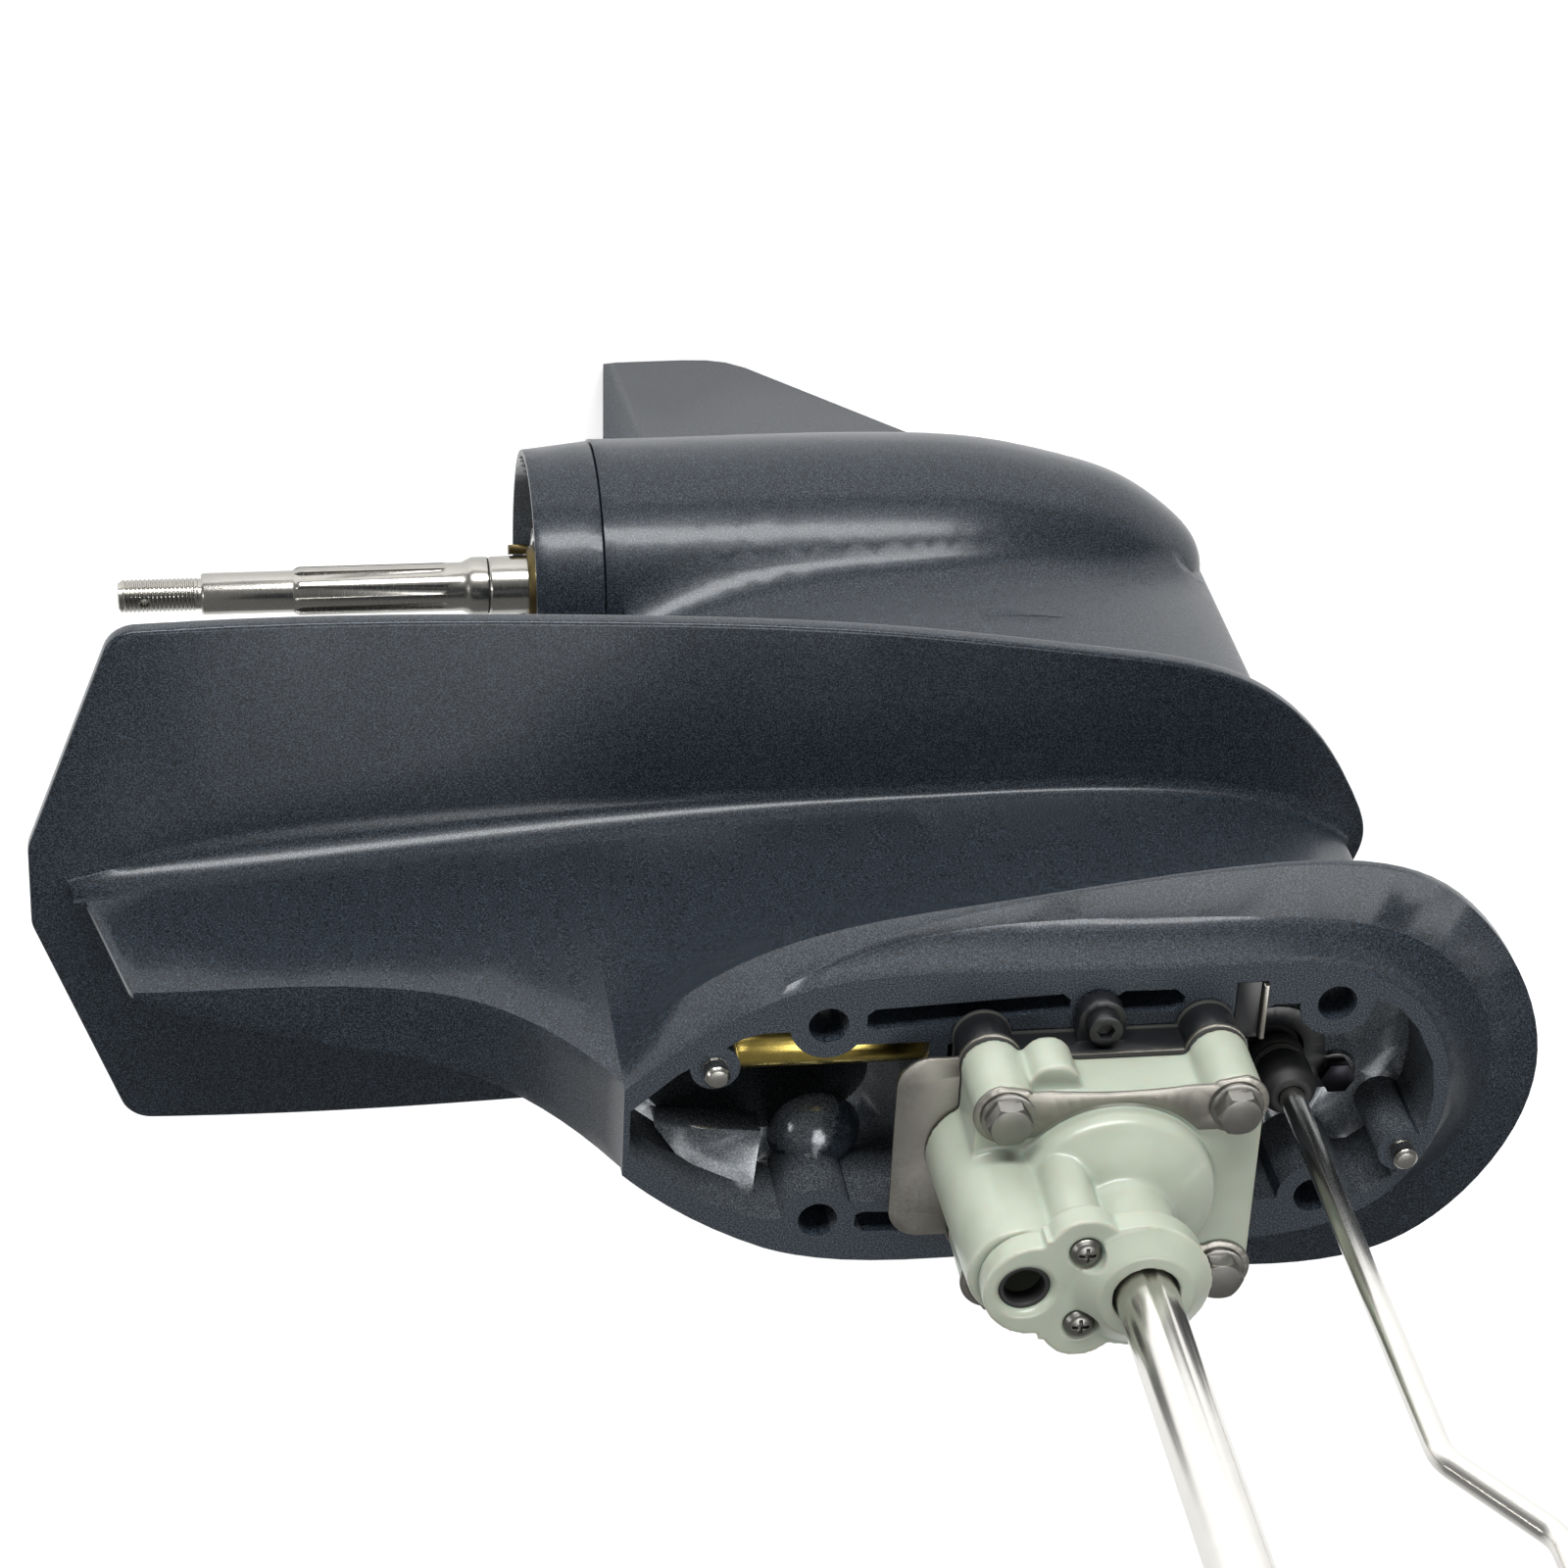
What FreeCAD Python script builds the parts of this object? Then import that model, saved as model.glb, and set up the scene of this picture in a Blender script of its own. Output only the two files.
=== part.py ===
import FreeCAD, Part
import math
import os

# Outboard lower unit: the gearcase that hangs below an outboard's mid-section, with its water pump,
# driveshaft, shift rod, bevel gears, dog clutch and propeller shaft. The propeller is not fitted.
# Millimetres. X points forward (to the nose), Y to port, Z up along the driveshaft.
# Origin: the middle of the four mounting holes, on the flat mounting deck.

V = FreeCAD.Vector
UP = V(0, 0, 1)
AFT = V(-1, 0, 0)
FORWARD = V(1, 0, 0)

# Driving dimensions of the casing
DECK_HOLE_SPACING_X = 128.0   # mounting holes, fore and aft
DECK_HOLE_SPACING_Y = 59.0    # mounting holes, side to side
DECK_HOLE_R = 5.0             # clearance for an M8 bolt
DECK_BOSS_R = 9.5
DECK_THICK = 29.0             # casting under each mounting hole
BOLT_POCKET_R = 9.0
DOWEL_R = 3.15
DOWEL_STANDING = 5.0
DOWEL_DEPTH = 12.0
DOWEL_BOSS_R = 6.2
AFT_DOWEL = (-91.6, 18.4)
FORE_DOWEL = (85.9, -16.6)

PLATE_Z = -123.6              # top of the anti-ventilation plate
PLATE_THICK = 5.0
PLATE_AFT_X = -258.4
PLATE_CORNER_X = -234.5
PLATE_HALF = 76.9
PLATE_TIP_X = 106.6

DECK_AFT_X = -113.8           # flat aft end of the deck
DECK_AFT_HALF = 12.4
FLANGE_Z = -14.0              # top of the flared flange beside the deck
FLANGE_EDGE = 2.0             # upright edge of the flange
FLANGE_HALF = 61.2
FLANGE_NOSE_X = 122.0
STRUT_HALF = 18.0             # half the strut's thickness above the plate
STRUT_NOSE_X = 100.0
FLARE_POWER = 4.0             # how late the strut's side flares out to the flange
RIM_HALF = 43.4               # half width of the raised deck
STRUT_FILLET = 4.6

PROP_Z = -283.0               # propeller shaft's axis
TORPEDO_R = 43.4
TORPEDO_AFT_X = -91.8
TORPEDO_NOSE_X = 95.7
LOWER_STRUT_HALF = 19.5
LOWER_STRUT_AFT_X = -86.0
SKEG_BOTTOM_Z = -430.4
SKEG_ROOT_THICK = 9.0
SKEG_TIP_THICK = 4.4

# Driving dimensions of the shafts and gears
DRIVE_X = 1.7                 # driveshaft's axis
DRIVE_R = 7.5
DRIVE_TOP_Z = 330.0
DRIVE_SPLINE_LENGTH = 28.0
DRIVE_SPLINE_R = 6.6
ROD_X = 55.9                  # shift rod's axis
ROD_R = 3.25
ROD_BEND_Z = 131.0            # in neutral; the rod stands one travel higher in forward gear
ROD_JOG = 19.0
ROD_JOG_RISE = 29.0
ROD_TOP_Z = 224.0
ROD_TRAVEL = 8.0
CAM_SLOPE = 0.75              # clutch travel for each millimetre of rod travel

GEAR_MODULE = 2.4
PINION_TEETH = 13
GEAR_TEETH = 27
FACE_WIDTH = 11.0
ADDENDUM = 0.85               # of the module
DEDENDUM = 1.15               # of the module
PRESSURE_ANGLE = 20.0
BACKLASH = 0.32               # taken off each tooth's thickness at its outer end
GEAR_DOG_FACE = 12.0          # from the pinion's axis to the dog face of each gear
GEAR_BACK = 23.0
GEAR_HUB_END = 41.0
GEAR_HUB_R = 17.5
CLUTCH_R = 15.5
CLUTCH_HALF = 5.5
DOG_LENGTH = 3.3
DOG_INNER_R = 11.0
DOG_COUNT = 3
DOG_ANGLE = 50.0
DOG_POCKET_ANGLE = 62.0
DOG_POCKET_DEPTH = 4.5

SHAFT_R = 8.8                 # propeller shaft's shank
SHAFT_FRONT_X = 43.0
SHAFT_SPLINE_AFT_X = -179.5
SHAFT_SPLINE_FORE_X = -131.0
SHAFT_SPLINE_R = 7.35
SHAFT_SPLINE_ROOT_R = 6.3
SHAFT_SPLINES = 8
SHAFT_PLAIN_R = 6.25
SHAFT_THREAD_R = 4.65
SHAFT_THREAD_X = -208.5
SHAFT_AFT_X = -233.0
COTTER_R = 1.5
COTTER_X = -225.2
SHAFT_BORE_R = 4.1
SHAFT_BORE_END_X = -20.0
SHAFT_COLLAR_R = 12.5
PIN_R = 2.0

RUNNING = 0.05                # radial clearance of a shaft in its bearing
MOVING = 0.3                  # gap between faces that move past each other
FIT = 0.02                    # gap of a part pressed or seated in its bore

BEARING_R = 31.0
BEARING_WIDTH = 14.0
GEAR_CHAMBER_R = 36.5
CARRIER_BORE_R = 38.5
CARRIER_AFT_X = -112.0
CARRIER_TUBE_R = 17.0
CARRIER_RING_AFT_R = 40.5
CARRIER_RING_FORE_R = 42.6
CARRIER_RING_WALL = 1.8
CARRIER_HEAD_AFT_X = -54.0
CARRIER_BOLT_RADIUS = 32.4
NEEDLE_R = 12.0
SEAL_R = 13.0

# Driving dimensions of the water pump
PUMP_X = 2.4                  # middle of the four pump bolts
PUMP_BOLT_X = 28.2
PUMP_BOLT_Y = 24.8
PUMP_BOLT_R = 3.0
PUMP_BOSS_R = 7.6
PUMP_BASE_Z = 0.8             # the base stands on its gasket
PUMP_BASE_TOP = 11.0
WEAR_PLATE_THICK = 1.2
GASKET_THICK = 0.5
PUMP_SEAT_DROP = 0.2          # the pump's seat is milled this far below the deck's face
STRAP_Z = 33.0
STRAP_THICK = 1.2
CUP_R = 25.5
CUP_TOP = 42.0
IMPELLER_CAVITY_R = 20.0
LINER_WALL = 0.8
IMPELLER_HEIGHT = 15.0
IMPELLER_VANES = 6
NECK_R = 12.5
CAP_Z = 64.0
CAP_TOP = 71.0
DUCT_X = -26.5
DUCT_R = 13.8
OUTLET_R = 6.0
CAP_SCREW_X = -12.7
CAP_SCREW_Y = 10.5
BASE_SCREW_X = 3.2
BASE_SCREW_Y = 30.6
BASE_SCREW_R = 2.5
DRIVE_BUSH_R = 11.0
DRIVE_BUSH_LENGTH = 20.0
PINION_BEARING_R = 16.0
PINION_POCKET_R = 18.6
PINION_BACK = 37.0
PINION_NOSE = 22.5
PINION_BORE_R = 6.0
PINION_BEARING_TOP = -226.0
PINION_BEARING_LENGTH = 18.0
BOOT_R = 7.8
BOOT_Z = -40.0
BOOT_TOP = -2.0
NOTCH_X = 41.8
NOTCH_WIDTH = 8.0
NOSE_CAVITY_X = 70.0
CARRIER_HEAD_FORE_X = -21.0
SCREEN_X = 34.0
SCREEN_Z = -166.0
SCREEN_LENGTH = 30.0
SCREEN_HEIGHT = 38.0
ANODE_X = -165.0
PLUG_PLACES = ((16.0, -303.0), (-12.0, -263.0))   # drain and vent, on the starboard side
PLUG_SEAT_Y = 36.5
IMPELLER_Z = 14.0
PUMP_FOOT = PUMP_BASE_TOP + WEAR_PLATE_THICK + GASKET_THICK + FIT * 2
WEAR_TONGUE_X = -48.5
GROMMET_R = 8.6
NUT_FOOT = 17.0               # the pinion nut's lower face above the propeller shaft's axis
KEYWAY_R = 7.7
PLUNGER_R = 4.0
PLUNGER_X = 24.0
CAM_FACE_X = 56.0
CAM_FRONT_X = 66.5
CAM_REACH = ROD_TRAVEL + PLUNGER_R + 1.5
COLLAR_AFT_X = -43.6
REVERSE_SHOULDER_X = -36.3
CARRIER_STEP_X = -45.2
O_RING_X = -49.0
SEAL_AFT_X = -107.0
NEEDLE_AFT_X = -78.0
THRUST_GROOVE_X = -122.9
GUIDE_BOLT_X = 73.0
GUIDE_BOLT_Y = -7.0
COOLING_TUBE_R = 6.8
ROD_CLIP_DROP = 40.0          # from the rod's top down to the link's clip groove
PILOT_R = 5.5
PILOT_LENGTH = 11.0
OUTLET_BORE_R = 4.9
ROD_BEND_RADIUS = 12.0
TAIL_FILLET = 9.5
NECK_FILLET = 24.0
LOWER_STRUT = [(LOWER_STRUT_AFT_X, 3), (-66, 11), (-35, 17), (5, LOWER_STRUT_HALF), (45, 17.6), (76, 10.5),
               (90, 4.6), (TORPEDO_NOSE_X - 0.4, 0)]
TORPEDO_PROFILE = [(TORPEDO_AFT_X, TORPEDO_R - 0.2), (-50, TORPEDO_R), (-5, TORPEDO_R - 0.2), (28, 40.8), (52, 35.4),
                   (70, 29), (84, 19.6), (TORPEDO_NOSE_X - 2.2, 9), (TORPEDO_NOSE_X, 0)]
LEDGE_Z = -15.0
HUMP_R = 12.5
COOLING_TUBE_X = (-87.5, -36.5)
COOLING_TUBE_Y = 16.6
COOLING_TUBE_Z = -14.0
SUMP_Z = -30.0                # floor under the pump base
CHAMBER_Z = -24.0             # floor of the fore and aft chambers


def cylinder(radius, length, start, direction=UP):
    return Part.makeCylinder(radius, length, start, direction)


def upright(radius, low, high, x=0.0, y=0.0):
    return cylinder(radius, high - low, V(x, y, low))


def along(radius, aft, fore, y=0.0, z=PROP_Z):
    return cylinder(radius, fore - aft, V(aft, y, z), FORWARD)


def tube(outer, inner, aft, fore):
    """Ring about the propeller shaft's axis."""
    return along(outer, aft, fore).cut(along(inner, aft - 1, fore + 1))


def ring(outer, inner, low, high, x=0.0, y=0.0):
    """Upright ring."""
    return upright(outer, low, high, x, y).cut(upright(inner, low - 1, high + 1, x, y))


def block(x0, x1, y0, y1, z0, z1):
    return Part.makeBox(x1 - x0, y1 - y0, z1 - z0, V(x0, y0, z0))


def flat_face(points):
    return Part.Face(Part.makePolygon(points + [points[0]]))


def prism(outline, low, high):
    """Solid between two heights with a plan outline of (x, y) corners."""
    face = flat_face([V(x, y, low) for x, y in outline])
    return face.extrude(V(0, 0, high - low))


def side_prism(outline, half):
    """Solid of a given half width with a side outline of (x, z) corners."""
    face = flat_face([V(x, -half, z) for x, z in outline])
    return face.extrude(V(0, 2 * half, 0))


def turned_x(profile):
    """Solid turned about the propeller shaft's axis from (x, radius) corners."""
    face = flat_face([V(x, 0, PROP_Z + r) for x, r in profile])
    return face.revolve(V(0, 0, PROP_Z), FORWARD, 360)


def turned_z(profile, x=0.0, y=0.0):
    """Solid turned about an upright axis from (radius, z) corners."""
    face = flat_face([V(x + r, y, z) for r, z in profile])
    return face.revolve(V(x, y, 0), UP, 360)


def curve(points):
    spline = Part.BSplineCurve()
    spline.interpolate(points)
    return spline.toShape()


def mirrored(points):
    """The outline's port half, aft to fore, followed by its starboard half, fore to aft."""
    return points + [(x, -y) for x, y in reversed(points) if y > 0]


def spline_wire(half, z):
    """Closed plan outline: a smooth curve through the port half, its mirror image and a flat end."""
    points = [V(x, y, z) for x, y in mirrored(half)]
    return Part.Wire([curve(points), Part.makeLine(points[-1], points[0])])


def hexagon(across_flats, low, high, x, y):
    r = across_flats / math.sqrt(3)
    corners = [(x + r * math.cos(math.radians(60 * i)), y + r * math.sin(math.radians(60 * i))) for i in range(6)]
    return prism(corners, low, high)


def fused(shapes):
    whole = shapes[0].multiFuse(shapes[1:])
    return whole.removeSplitter()


def save(name, shape):
    solids = shape.Solids
    assert solids, name
    shape = solids[0] if len(solids) == 1 else Part.makeCompound(solids)
    shape.exportStep("parts/" + name + ".step")
    print(name, len(solids), round(shape.Volume, 1), shape.isValid())


# Casing

def upper_section(z):
    """Half outline of the upper body at one height: a slim strut at the plate, the wide flange on top."""
    rise = (z - PLATE_Z) / (FLANGE_Z - FLANGE_EDGE - PLATE_Z)
    flare = max(0.0, min(1.0, rise)) ** FLARE_POWER

    def between(low, high):
        return low + (high - low) * flare

    return [
        (DECK_AFT_X, 13.4 + (DECK_AFT_HALF - 13.1) * rise),
        (-74.0, between(STRUT_HALF - 2, RIM_HALF - 1)),
        (-20.0, between(STRUT_HALF, FLANGE_HALF - 8)),
        (45.0, between(STRUT_HALF - 0.5, FLANGE_HALF)),
        (between(80, 90), between(11.5, FLANGE_HALF - 6)),
        (between(94, 111), between(5.2, 34.5)),
        (between(STRUT_NOSE_X, FLANGE_NOSE_X), 0.0),
    ]


def rim_section(grow, z):
    """Raised deck, grown by the slope of its sides; its front runs out far more gently."""
    return spline_wire([
        (-96, 26 + grow),
        (-71, 39.6 + grow),
        (-30, RIM_HALF + grow),
        (30, RIM_HALF - 1.2 + grow),
        (64 + grow, RIM_HALF - 3.4 + grow),
        (83 + grow * 1.8, 30.5 + grow * 1.6),
        (92.5 + grow * 3.6, 16.5 + grow * 1.4),
        (96 + grow * 4.4, 0),
    ], z)


def upper_body():
    top = FLANGE_Z - FLANGE_EDGE
    heights = [PLATE_Z - 2, -104, -80, -58, -40, -27, top]
    flare = Part.makeLoft([spline_wire(upper_section(z), z) for z in heights], True)
    lip_low = spline_wire(upper_section(top), top)
    deck = upper_section(top)
    deck[1] = (-72.0, 39.7)
    lip = Part.makeLoft([lip_low, spline_wire(deck, 0)], True, True)
    crown = [(-92, 3), (-78, -2.5), (-60, -7), (-38, -11.5), (-10, FLANGE_Z), (45, FLANGE_Z),
             (80, -13), (105, -11), (128, -9)]
    arc = curve([V(x, -90, z) for x, z in crown])
    lid = [Part.makeLine(V(128, -90, -9), V(128, -90, 6)), Part.makeLine(V(128, -90, 6), V(-92, -90, 6)),
           Part.makeLine(V(-92, -90, 6), V(-92, -90, 3))]
    above = Part.Face(Part.Wire([arc] + lid)).extrude(V(0, 180, 0))
    rim = Part.makeLoft([rim_section(g, z) for g, z in ((7, -16), (3.4, -11), (1.2, -5), (0, 0))], True)
    rim = rim.fuse(Part.Face(rim_section(0, 0)).extrude(V(0, 0, 4)))
    keep = rim.fuse(block(-130, -84, -60, 60, -20, 3))
    return flare.fuse(lip).cut(above.cut(keep))


def tail():
    """The strut's tail behind the deck, swept down to a sharp trailing edge."""
    low = [(-90, 15.0), (DECK_AFT_X, 13.5), (-150, 10.9), (-200, 6.3), (-246.5, 0.8)]
    high = [(-90, 12.9), (DECK_AFT_X, 12.75), (-150, 11.8), (-190, 8.4), (-214.5, 0.8)]

    def outline(half, z):
        port = curve([V(x, y, z) for x, y in half])
        starboard = curve([V(x, -y, z) for x, y in half])
        ends = [Part.makeLine(V(x, y, z), V(x, -y, z)) for x, y in (half[0], half[-1])]
        return Part.Wire([port, ends[1], starboard, ends[0]])

    body = Part.makeLoft([outline(low, PLATE_Z - 2), outline(high, 2)], True, True)
    sweep = curve([V(x, -30, z) for x, z in [(DECK_AFT_X, -3.5), (-121, -16), (-134, -33), (-150, -46), (-168, -53.5),
                                             (-200, -61), (-232, -70)]])
    rest = [V(-232, -30, -70), V(-262, -30, PLATE_Z - 2), V(-92, -30, PLATE_Z - 2), V(-92, -30, 0),
            V(DECK_AFT_X, -30, 0), V(DECK_AFT_X, -30, -3.5)]
    side = Part.Wire([sweep] + [Part.makeLine(a, b) for a, b in zip(rest, rest[1:])])
    return body.common(Part.Face(side).extrude(V(0, 60, 0)))


def plate():
    """Anti-ventilation plate with a pointed nose and a cut-off tail."""
    z = PLATE_Z - PLATE_THICK
    half = [(PLATE_CORNER_X, PLATE_HALF - 0.6), (-187, PLATE_HALF + 0.5), (-110, PLATE_HALF - 1.6), (-33, 69.7),
            (30, 60.5), (72, 48.5), (92, 30.5), (102.5, 13), (PLATE_TIP_X, 0)]
    points = [V(x, y, z) for x, y in mirrored(half)]
    aft = [V(PLATE_AFT_X, -12, z), V(PLATE_AFT_X, 12, z)]
    edges = [curve(points), Part.makeLine(points[-1], aft[0]), Part.makeLine(aft[0], aft[1]),
             Part.makeLine(aft[1], points[0])]
    slab = Part.Face(Part.Wire(edges)).extrude(V(0, 0, PLATE_THICK))
    corners = [e for e in slab.Edges if abs(e.BoundBox.ZLength - PLATE_THICK) < 0.01 and e.BoundBox.XMax < -200]
    slab = slab.makeFillet(9.0, corners)
    rims = [e for e in slab.Edges if e.BoundBox.ZLength < 0.01]
    return slab.makeFillet(1.2, rims)


def lower_strut():
    wire = spline_wire(LOWER_STRUT, PROP_Z)
    return Part.Face(wire).extrude(V(0, 0, PLATE_Z - 2 - PROP_Z))


def torpedo():
    edge = curve([V(x, 0, PROP_Z + r) for x, r in TORPEDO_PROFILE])
    first = V(TORPEDO_AFT_X, 0, PROP_Z)
    lines = [Part.makeLine(V(TORPEDO_NOSE_X, 0, PROP_Z), first),
             Part.makeLine(first, V(TORPEDO_AFT_X, 0, PROP_Z + TORPEDO_R - 0.2))]
    return Part.Face(Part.Wire([edge] + lines)).revolve(V(0, 0, PROP_Z), FORWARD, 360)


def skeg():
    side = side_prism([(-86.5, -300), (-72.6, SKEG_BOTTOM_Z + 1.6), (-68, SKEG_BOTTOM_Z + 0.7), (-46, SKEG_BOTTOM_Z),
                       (-38.5, SKEG_BOTTOM_Z + 0.5), (-32, SKEG_BOTTOM_Z + 2.6), (-26, SKEG_BOTTOM_Z + 7.2),
                       (14, -377.5), (62, -323), (82, -300)], 10)
    root = PROP_Z - 25
    wedge = flat_face([V(-100, -SKEG_ROOT_THICK / 2, root), V(-100, SKEG_ROOT_THICK / 2, root),
                       V(-100, SKEG_TIP_THICK / 2, SKEG_BOTTOM_Z - 2), V(-100, -SKEG_TIP_THICK / 2, SKEG_BOTTOM_Z - 2)])
    return side.common(wedge.extrude(V(200, 0, 0)))


def foot_fillet():
    """Hollow fillet between the strut and the plate, wider towards the tail, as bands of a quarter circle."""
    def grow(radius, height):
        return radius - math.sqrt(radius ** 2 - (radius - height) ** 2) if height < radius else 0.0

    def outline(height):
        wide, slim = grow(TAIL_FILLET, height), grow(STRUT_FILLET, height)
        half = [(-246.8 - wide * 0.3, 0.6 + wide * 0.3), (-200, 6.2 + wide), (-150, 10.8 + wide),
                (-74, STRUT_HALF - 2 + (wide + slim) / 2), (-20, STRUT_HALF + slim), (45, STRUT_HALF - 0.5 + slim),
                (80, 11.5 + slim), (94 + slim / 2, 5.2 + slim), (STRUT_NOSE_X + slim, 0)]
        return spline_wire(half, PLATE_Z + height)

    heights = [0.0, 0.8, 2.0, STRUT_FILLET, 6.5, TAIL_FILLET]
    return Part.makeLoft([outline(h) for h in heights], True, True)


def strut_half(x):
    """Half thickness of the lower strut at one station."""
    for (x0, y0), (x1, y1) in zip(LOWER_STRUT, LOWER_STRUT[1:]):
        if x0 <= x <= x1:
            return y0 + (y1 - y0) * (x - x0) / (x1 - x0)
    return 0.0


def torpedo_radius(x):
    for (x0, r0), (x1, r1) in zip(TORPEDO_PROFILE, TORPEDO_PROFILE[1:]):
        if x0 <= x <= x1:
            return r0 + (r1 - r0) * (x - x0) / (x1 - x0)
    return 0.0


def neck_half(x, rise):
    """Half thickness where the strut runs into the torpedo by a hollow fillet, at that rise above the axis."""
    slim, radius = strut_half(x) - 0.15, torpedo_radius(x)
    centre = slim + NECK_FILLET
    centre_rise = math.sqrt(max(1.0, (radius + NECK_FILLET) ** 2 - centre ** 2))
    touch = centre_rise * radius / (radius + NECK_FILLET)
    if rise >= centre_rise:
        return slim
    if rise <= touch:
        return max(slim, math.sqrt(max(0.0, radius ** 2 - rise ** 2)) - 0.7)
    return centre - math.sqrt(NECK_FILLET ** 2 - (rise - centre_rise) ** 2)


def neck():
    sections = []
    for rise in (16, 22, 28, 33, 38, 43, 49, 55, 63):
        aft = neck_half(LOWER_STRUT_AFT_X, rise)
        half = [(LOWER_STRUT_AFT_X + 0.2 - (aft - 3) * 0.1, aft)]
        half += [(x, neck_half(x, rise)) for x in (-66, -35, 5, 45, 64, 76, 85, 91)]
        sections.append(spline_wire(half + [(TORPEDO_NOSE_X - 0.7, 0)], PROP_Z + rise))
    return Part.makeLoft(sections, True)


def casing_outside():
    above = upper_body().fuse(tail()).fuse(foot_fillet())
    below = torpedo().fuse(neck()).fuse(lower_strut()).fuse(skeg())
    return above.fuse(plate()).fuse(below)


def ellipse(x, half_length, half_width, z):
    outline = Part.Ellipse(V(x, 0, z), half_length, half_width)
    return Part.Wire([outline.toShape()])


def deck_chambers():
    """The two open chambers of the deck, each left clear of the bolt and dowel bosses."""
    aft = prism([(-112.2, -6.5), (-112.2, 6.5), (-101, 16.6), (-85.4, 26.5), (-80, 28), (-70, 28), (-57, 23.4),
                 (-38.5, 23.4), (-38.5, -24.4), (-54, -24.4), (-70, -28.2), (-81, -28.2), (-94, -21.4), (-106.5, -11.2)],
                CHAMBER_Z, 2)
    fore = prism([(42, 26), (48, 30), (76, 29.4), (80.5, 27), (86, 20.5), (91, 10), (92.4, 0), (91.6, -9.6),
                  (84, -25.5), (79, -29.5), (42, -30.3)], CHAMBER_Z, 2)
    for x in (-DECK_HOLE_SPACING_X / 2, DECK_HOLE_SPACING_X / 2):
        for y in (-DECK_HOLE_SPACING_Y / 2, DECK_HOLE_SPACING_Y / 2):
            boss = upright(DECK_BOSS_R, CHAMBER_Z - 1, 3, x, y)
            aft = aft.cut(boss)
            fore = fore.cut(boss)
    ledge = prism([(-104, -9), (-77, -12), (-78.5, -31), (-90, -31)], CHAMBER_Z - 1, LEDGE_Z)
    hump = Part.makeSphere(HUMP_R, V(-62, -19, LEDGE_Z - HUMP_R))
    aft = aft.cut([upright(DOWEL_BOSS_R, CHAMBER_Z - 1, 3, *AFT_DOWEL), ledge, hump])
    fore = fore.cut(upright(DOWEL_BOSS_R, CHAMBER_Z - 1, 3, *FORE_DOWEL))
    return [aft, fore]


def exhaust_passage():
    """Runs from the aft chamber down through the strut and opens behind the bearing carrier."""
    stations = [(-78, 29, 17.5, CHAMBER_Z + 0.5), (-74, 25, 12, -62), (-64, 17, 8.6, PLATE_Z),
                (-67, 13, 8.4, PROP_Z + 30)]
    return Part.makeLoft([ellipse(*station) for station in stations], True)


def water_passage():
    """Rises from the intake screens to the pump's sump between the driveshaft and the shift rod."""
    stations = [(32, 12, 9, PLATE_Z - 62), (32, 12, 9, SUMP_Z + 1)]
    rise = Part.makeLoft([ellipse(*station) for station in stations], True)
    intake = block(SCREEN_X - SCREEN_LENGTH / 2 + 3, SCREEN_X + SCREEN_LENGTH / 2 - 3, -30, 30,
                   SCREEN_Z - SCREEN_HEIGHT / 2 + 3, SCREEN_Z + SCREEN_HEIGHT / 2 - 3)
    seat = block(SCREEN_X - SCREEN_LENGTH / 2 - FIT, SCREEN_X + SCREEN_LENGTH / 2 + FIT, 15, 30,
                 SCREEN_Z - SCREEN_HEIGHT / 2 - FIT, SCREEN_Z + SCREEN_HEIGHT / 2 + FIT)
    return [rise, intake, seat, seat.mirror(V(0, 0, 0), V(0, 1, 0))]


def pump_sump():
    """Pocket under the water pump; its rounded ends follow the pump's base."""
    body = block(-34, 38, -22.4, 22.4, SUMP_Z, 2)
    bolts = [upright(PUMP_BOLT_R + 0.4, -12, 2, x, y) for x, y in pump_bolt_places()]
    screws = [upright(BASE_SCREW_R + 0.2, -14, 2, BASE_SCREW_X, y) for y in (-BASE_SCREW_Y, BASE_SCREW_Y)]
    return [body] + bolts + screws


def pump_seat():
    """Milled seat round the pump's base, so that the base doesn't reach over the deck's face."""
    edge = 0.3
    reach = 6.0 + edge
    shapes = [pump_outline(edge, -PUMP_SEAT_DROP, 2)]
    for side in (-1, 1):
        shapes.append(upright(reach, -PUMP_SEAT_DROP, 2, BASE_SCREW_X, side * BASE_SCREW_Y))
        low, high = sorted((side * 20, side * BASE_SCREW_Y))
        shapes.append(block(BASE_SCREW_X - reach, BASE_SCREW_X + reach, low, high, -PUMP_SEAT_DROP, 2))
    return fused(shapes)


def deck_slots():
    """Long weight-saving slots beside the pump and the notch for the rod guide's tab."""
    aft_slot = prism([(-54.5, 28.5), (-54.5, 32), (-52.5, 33.6), (-6, 35.8), (-4, 34), (-4, 31), (-52.5, 27.6)], -20, 2)
    fore_slot = prism([(9.5, 29.2), (7, 31.5), (7, 34), (9.5, 35.9), (22.5, 35.7), (25, 33.4), (25, 31.3), (22, 29.4)],
                      -20, 2)
    notch = block(NOTCH_X - NOTCH_WIDTH / 2, NOTCH_X + NOTCH_WIDTH / 2, 20, 37, -8, 2)
    mirror = [slot.mirror(V(0, 0, 0), V(0, 1, 0)) for slot in (aft_slot, fore_slot)]
    return [aft_slot, fore_slot, notch] + mirror


def deck_holes():
    cuts = []
    for x in (-DECK_HOLE_SPACING_X / 2, DECK_HOLE_SPACING_X / 2):
        for y in (-DECK_HOLE_SPACING_Y / 2, DECK_HOLE_SPACING_Y / 2):
            cuts.append(upright(DECK_HOLE_R, -DECK_THICK - 1, 2, x, y))
            cuts.append(upright(BOLT_POCKET_R, PLATE_Z + 4, -DECK_THICK, x, y))
    for x, y in (AFT_DOWEL, FORE_DOWEL):
        cuts.append(upright(DOWEL_R + FIT, -DOWEL_DEPTH, 2, x, y))
    return cuts


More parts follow.
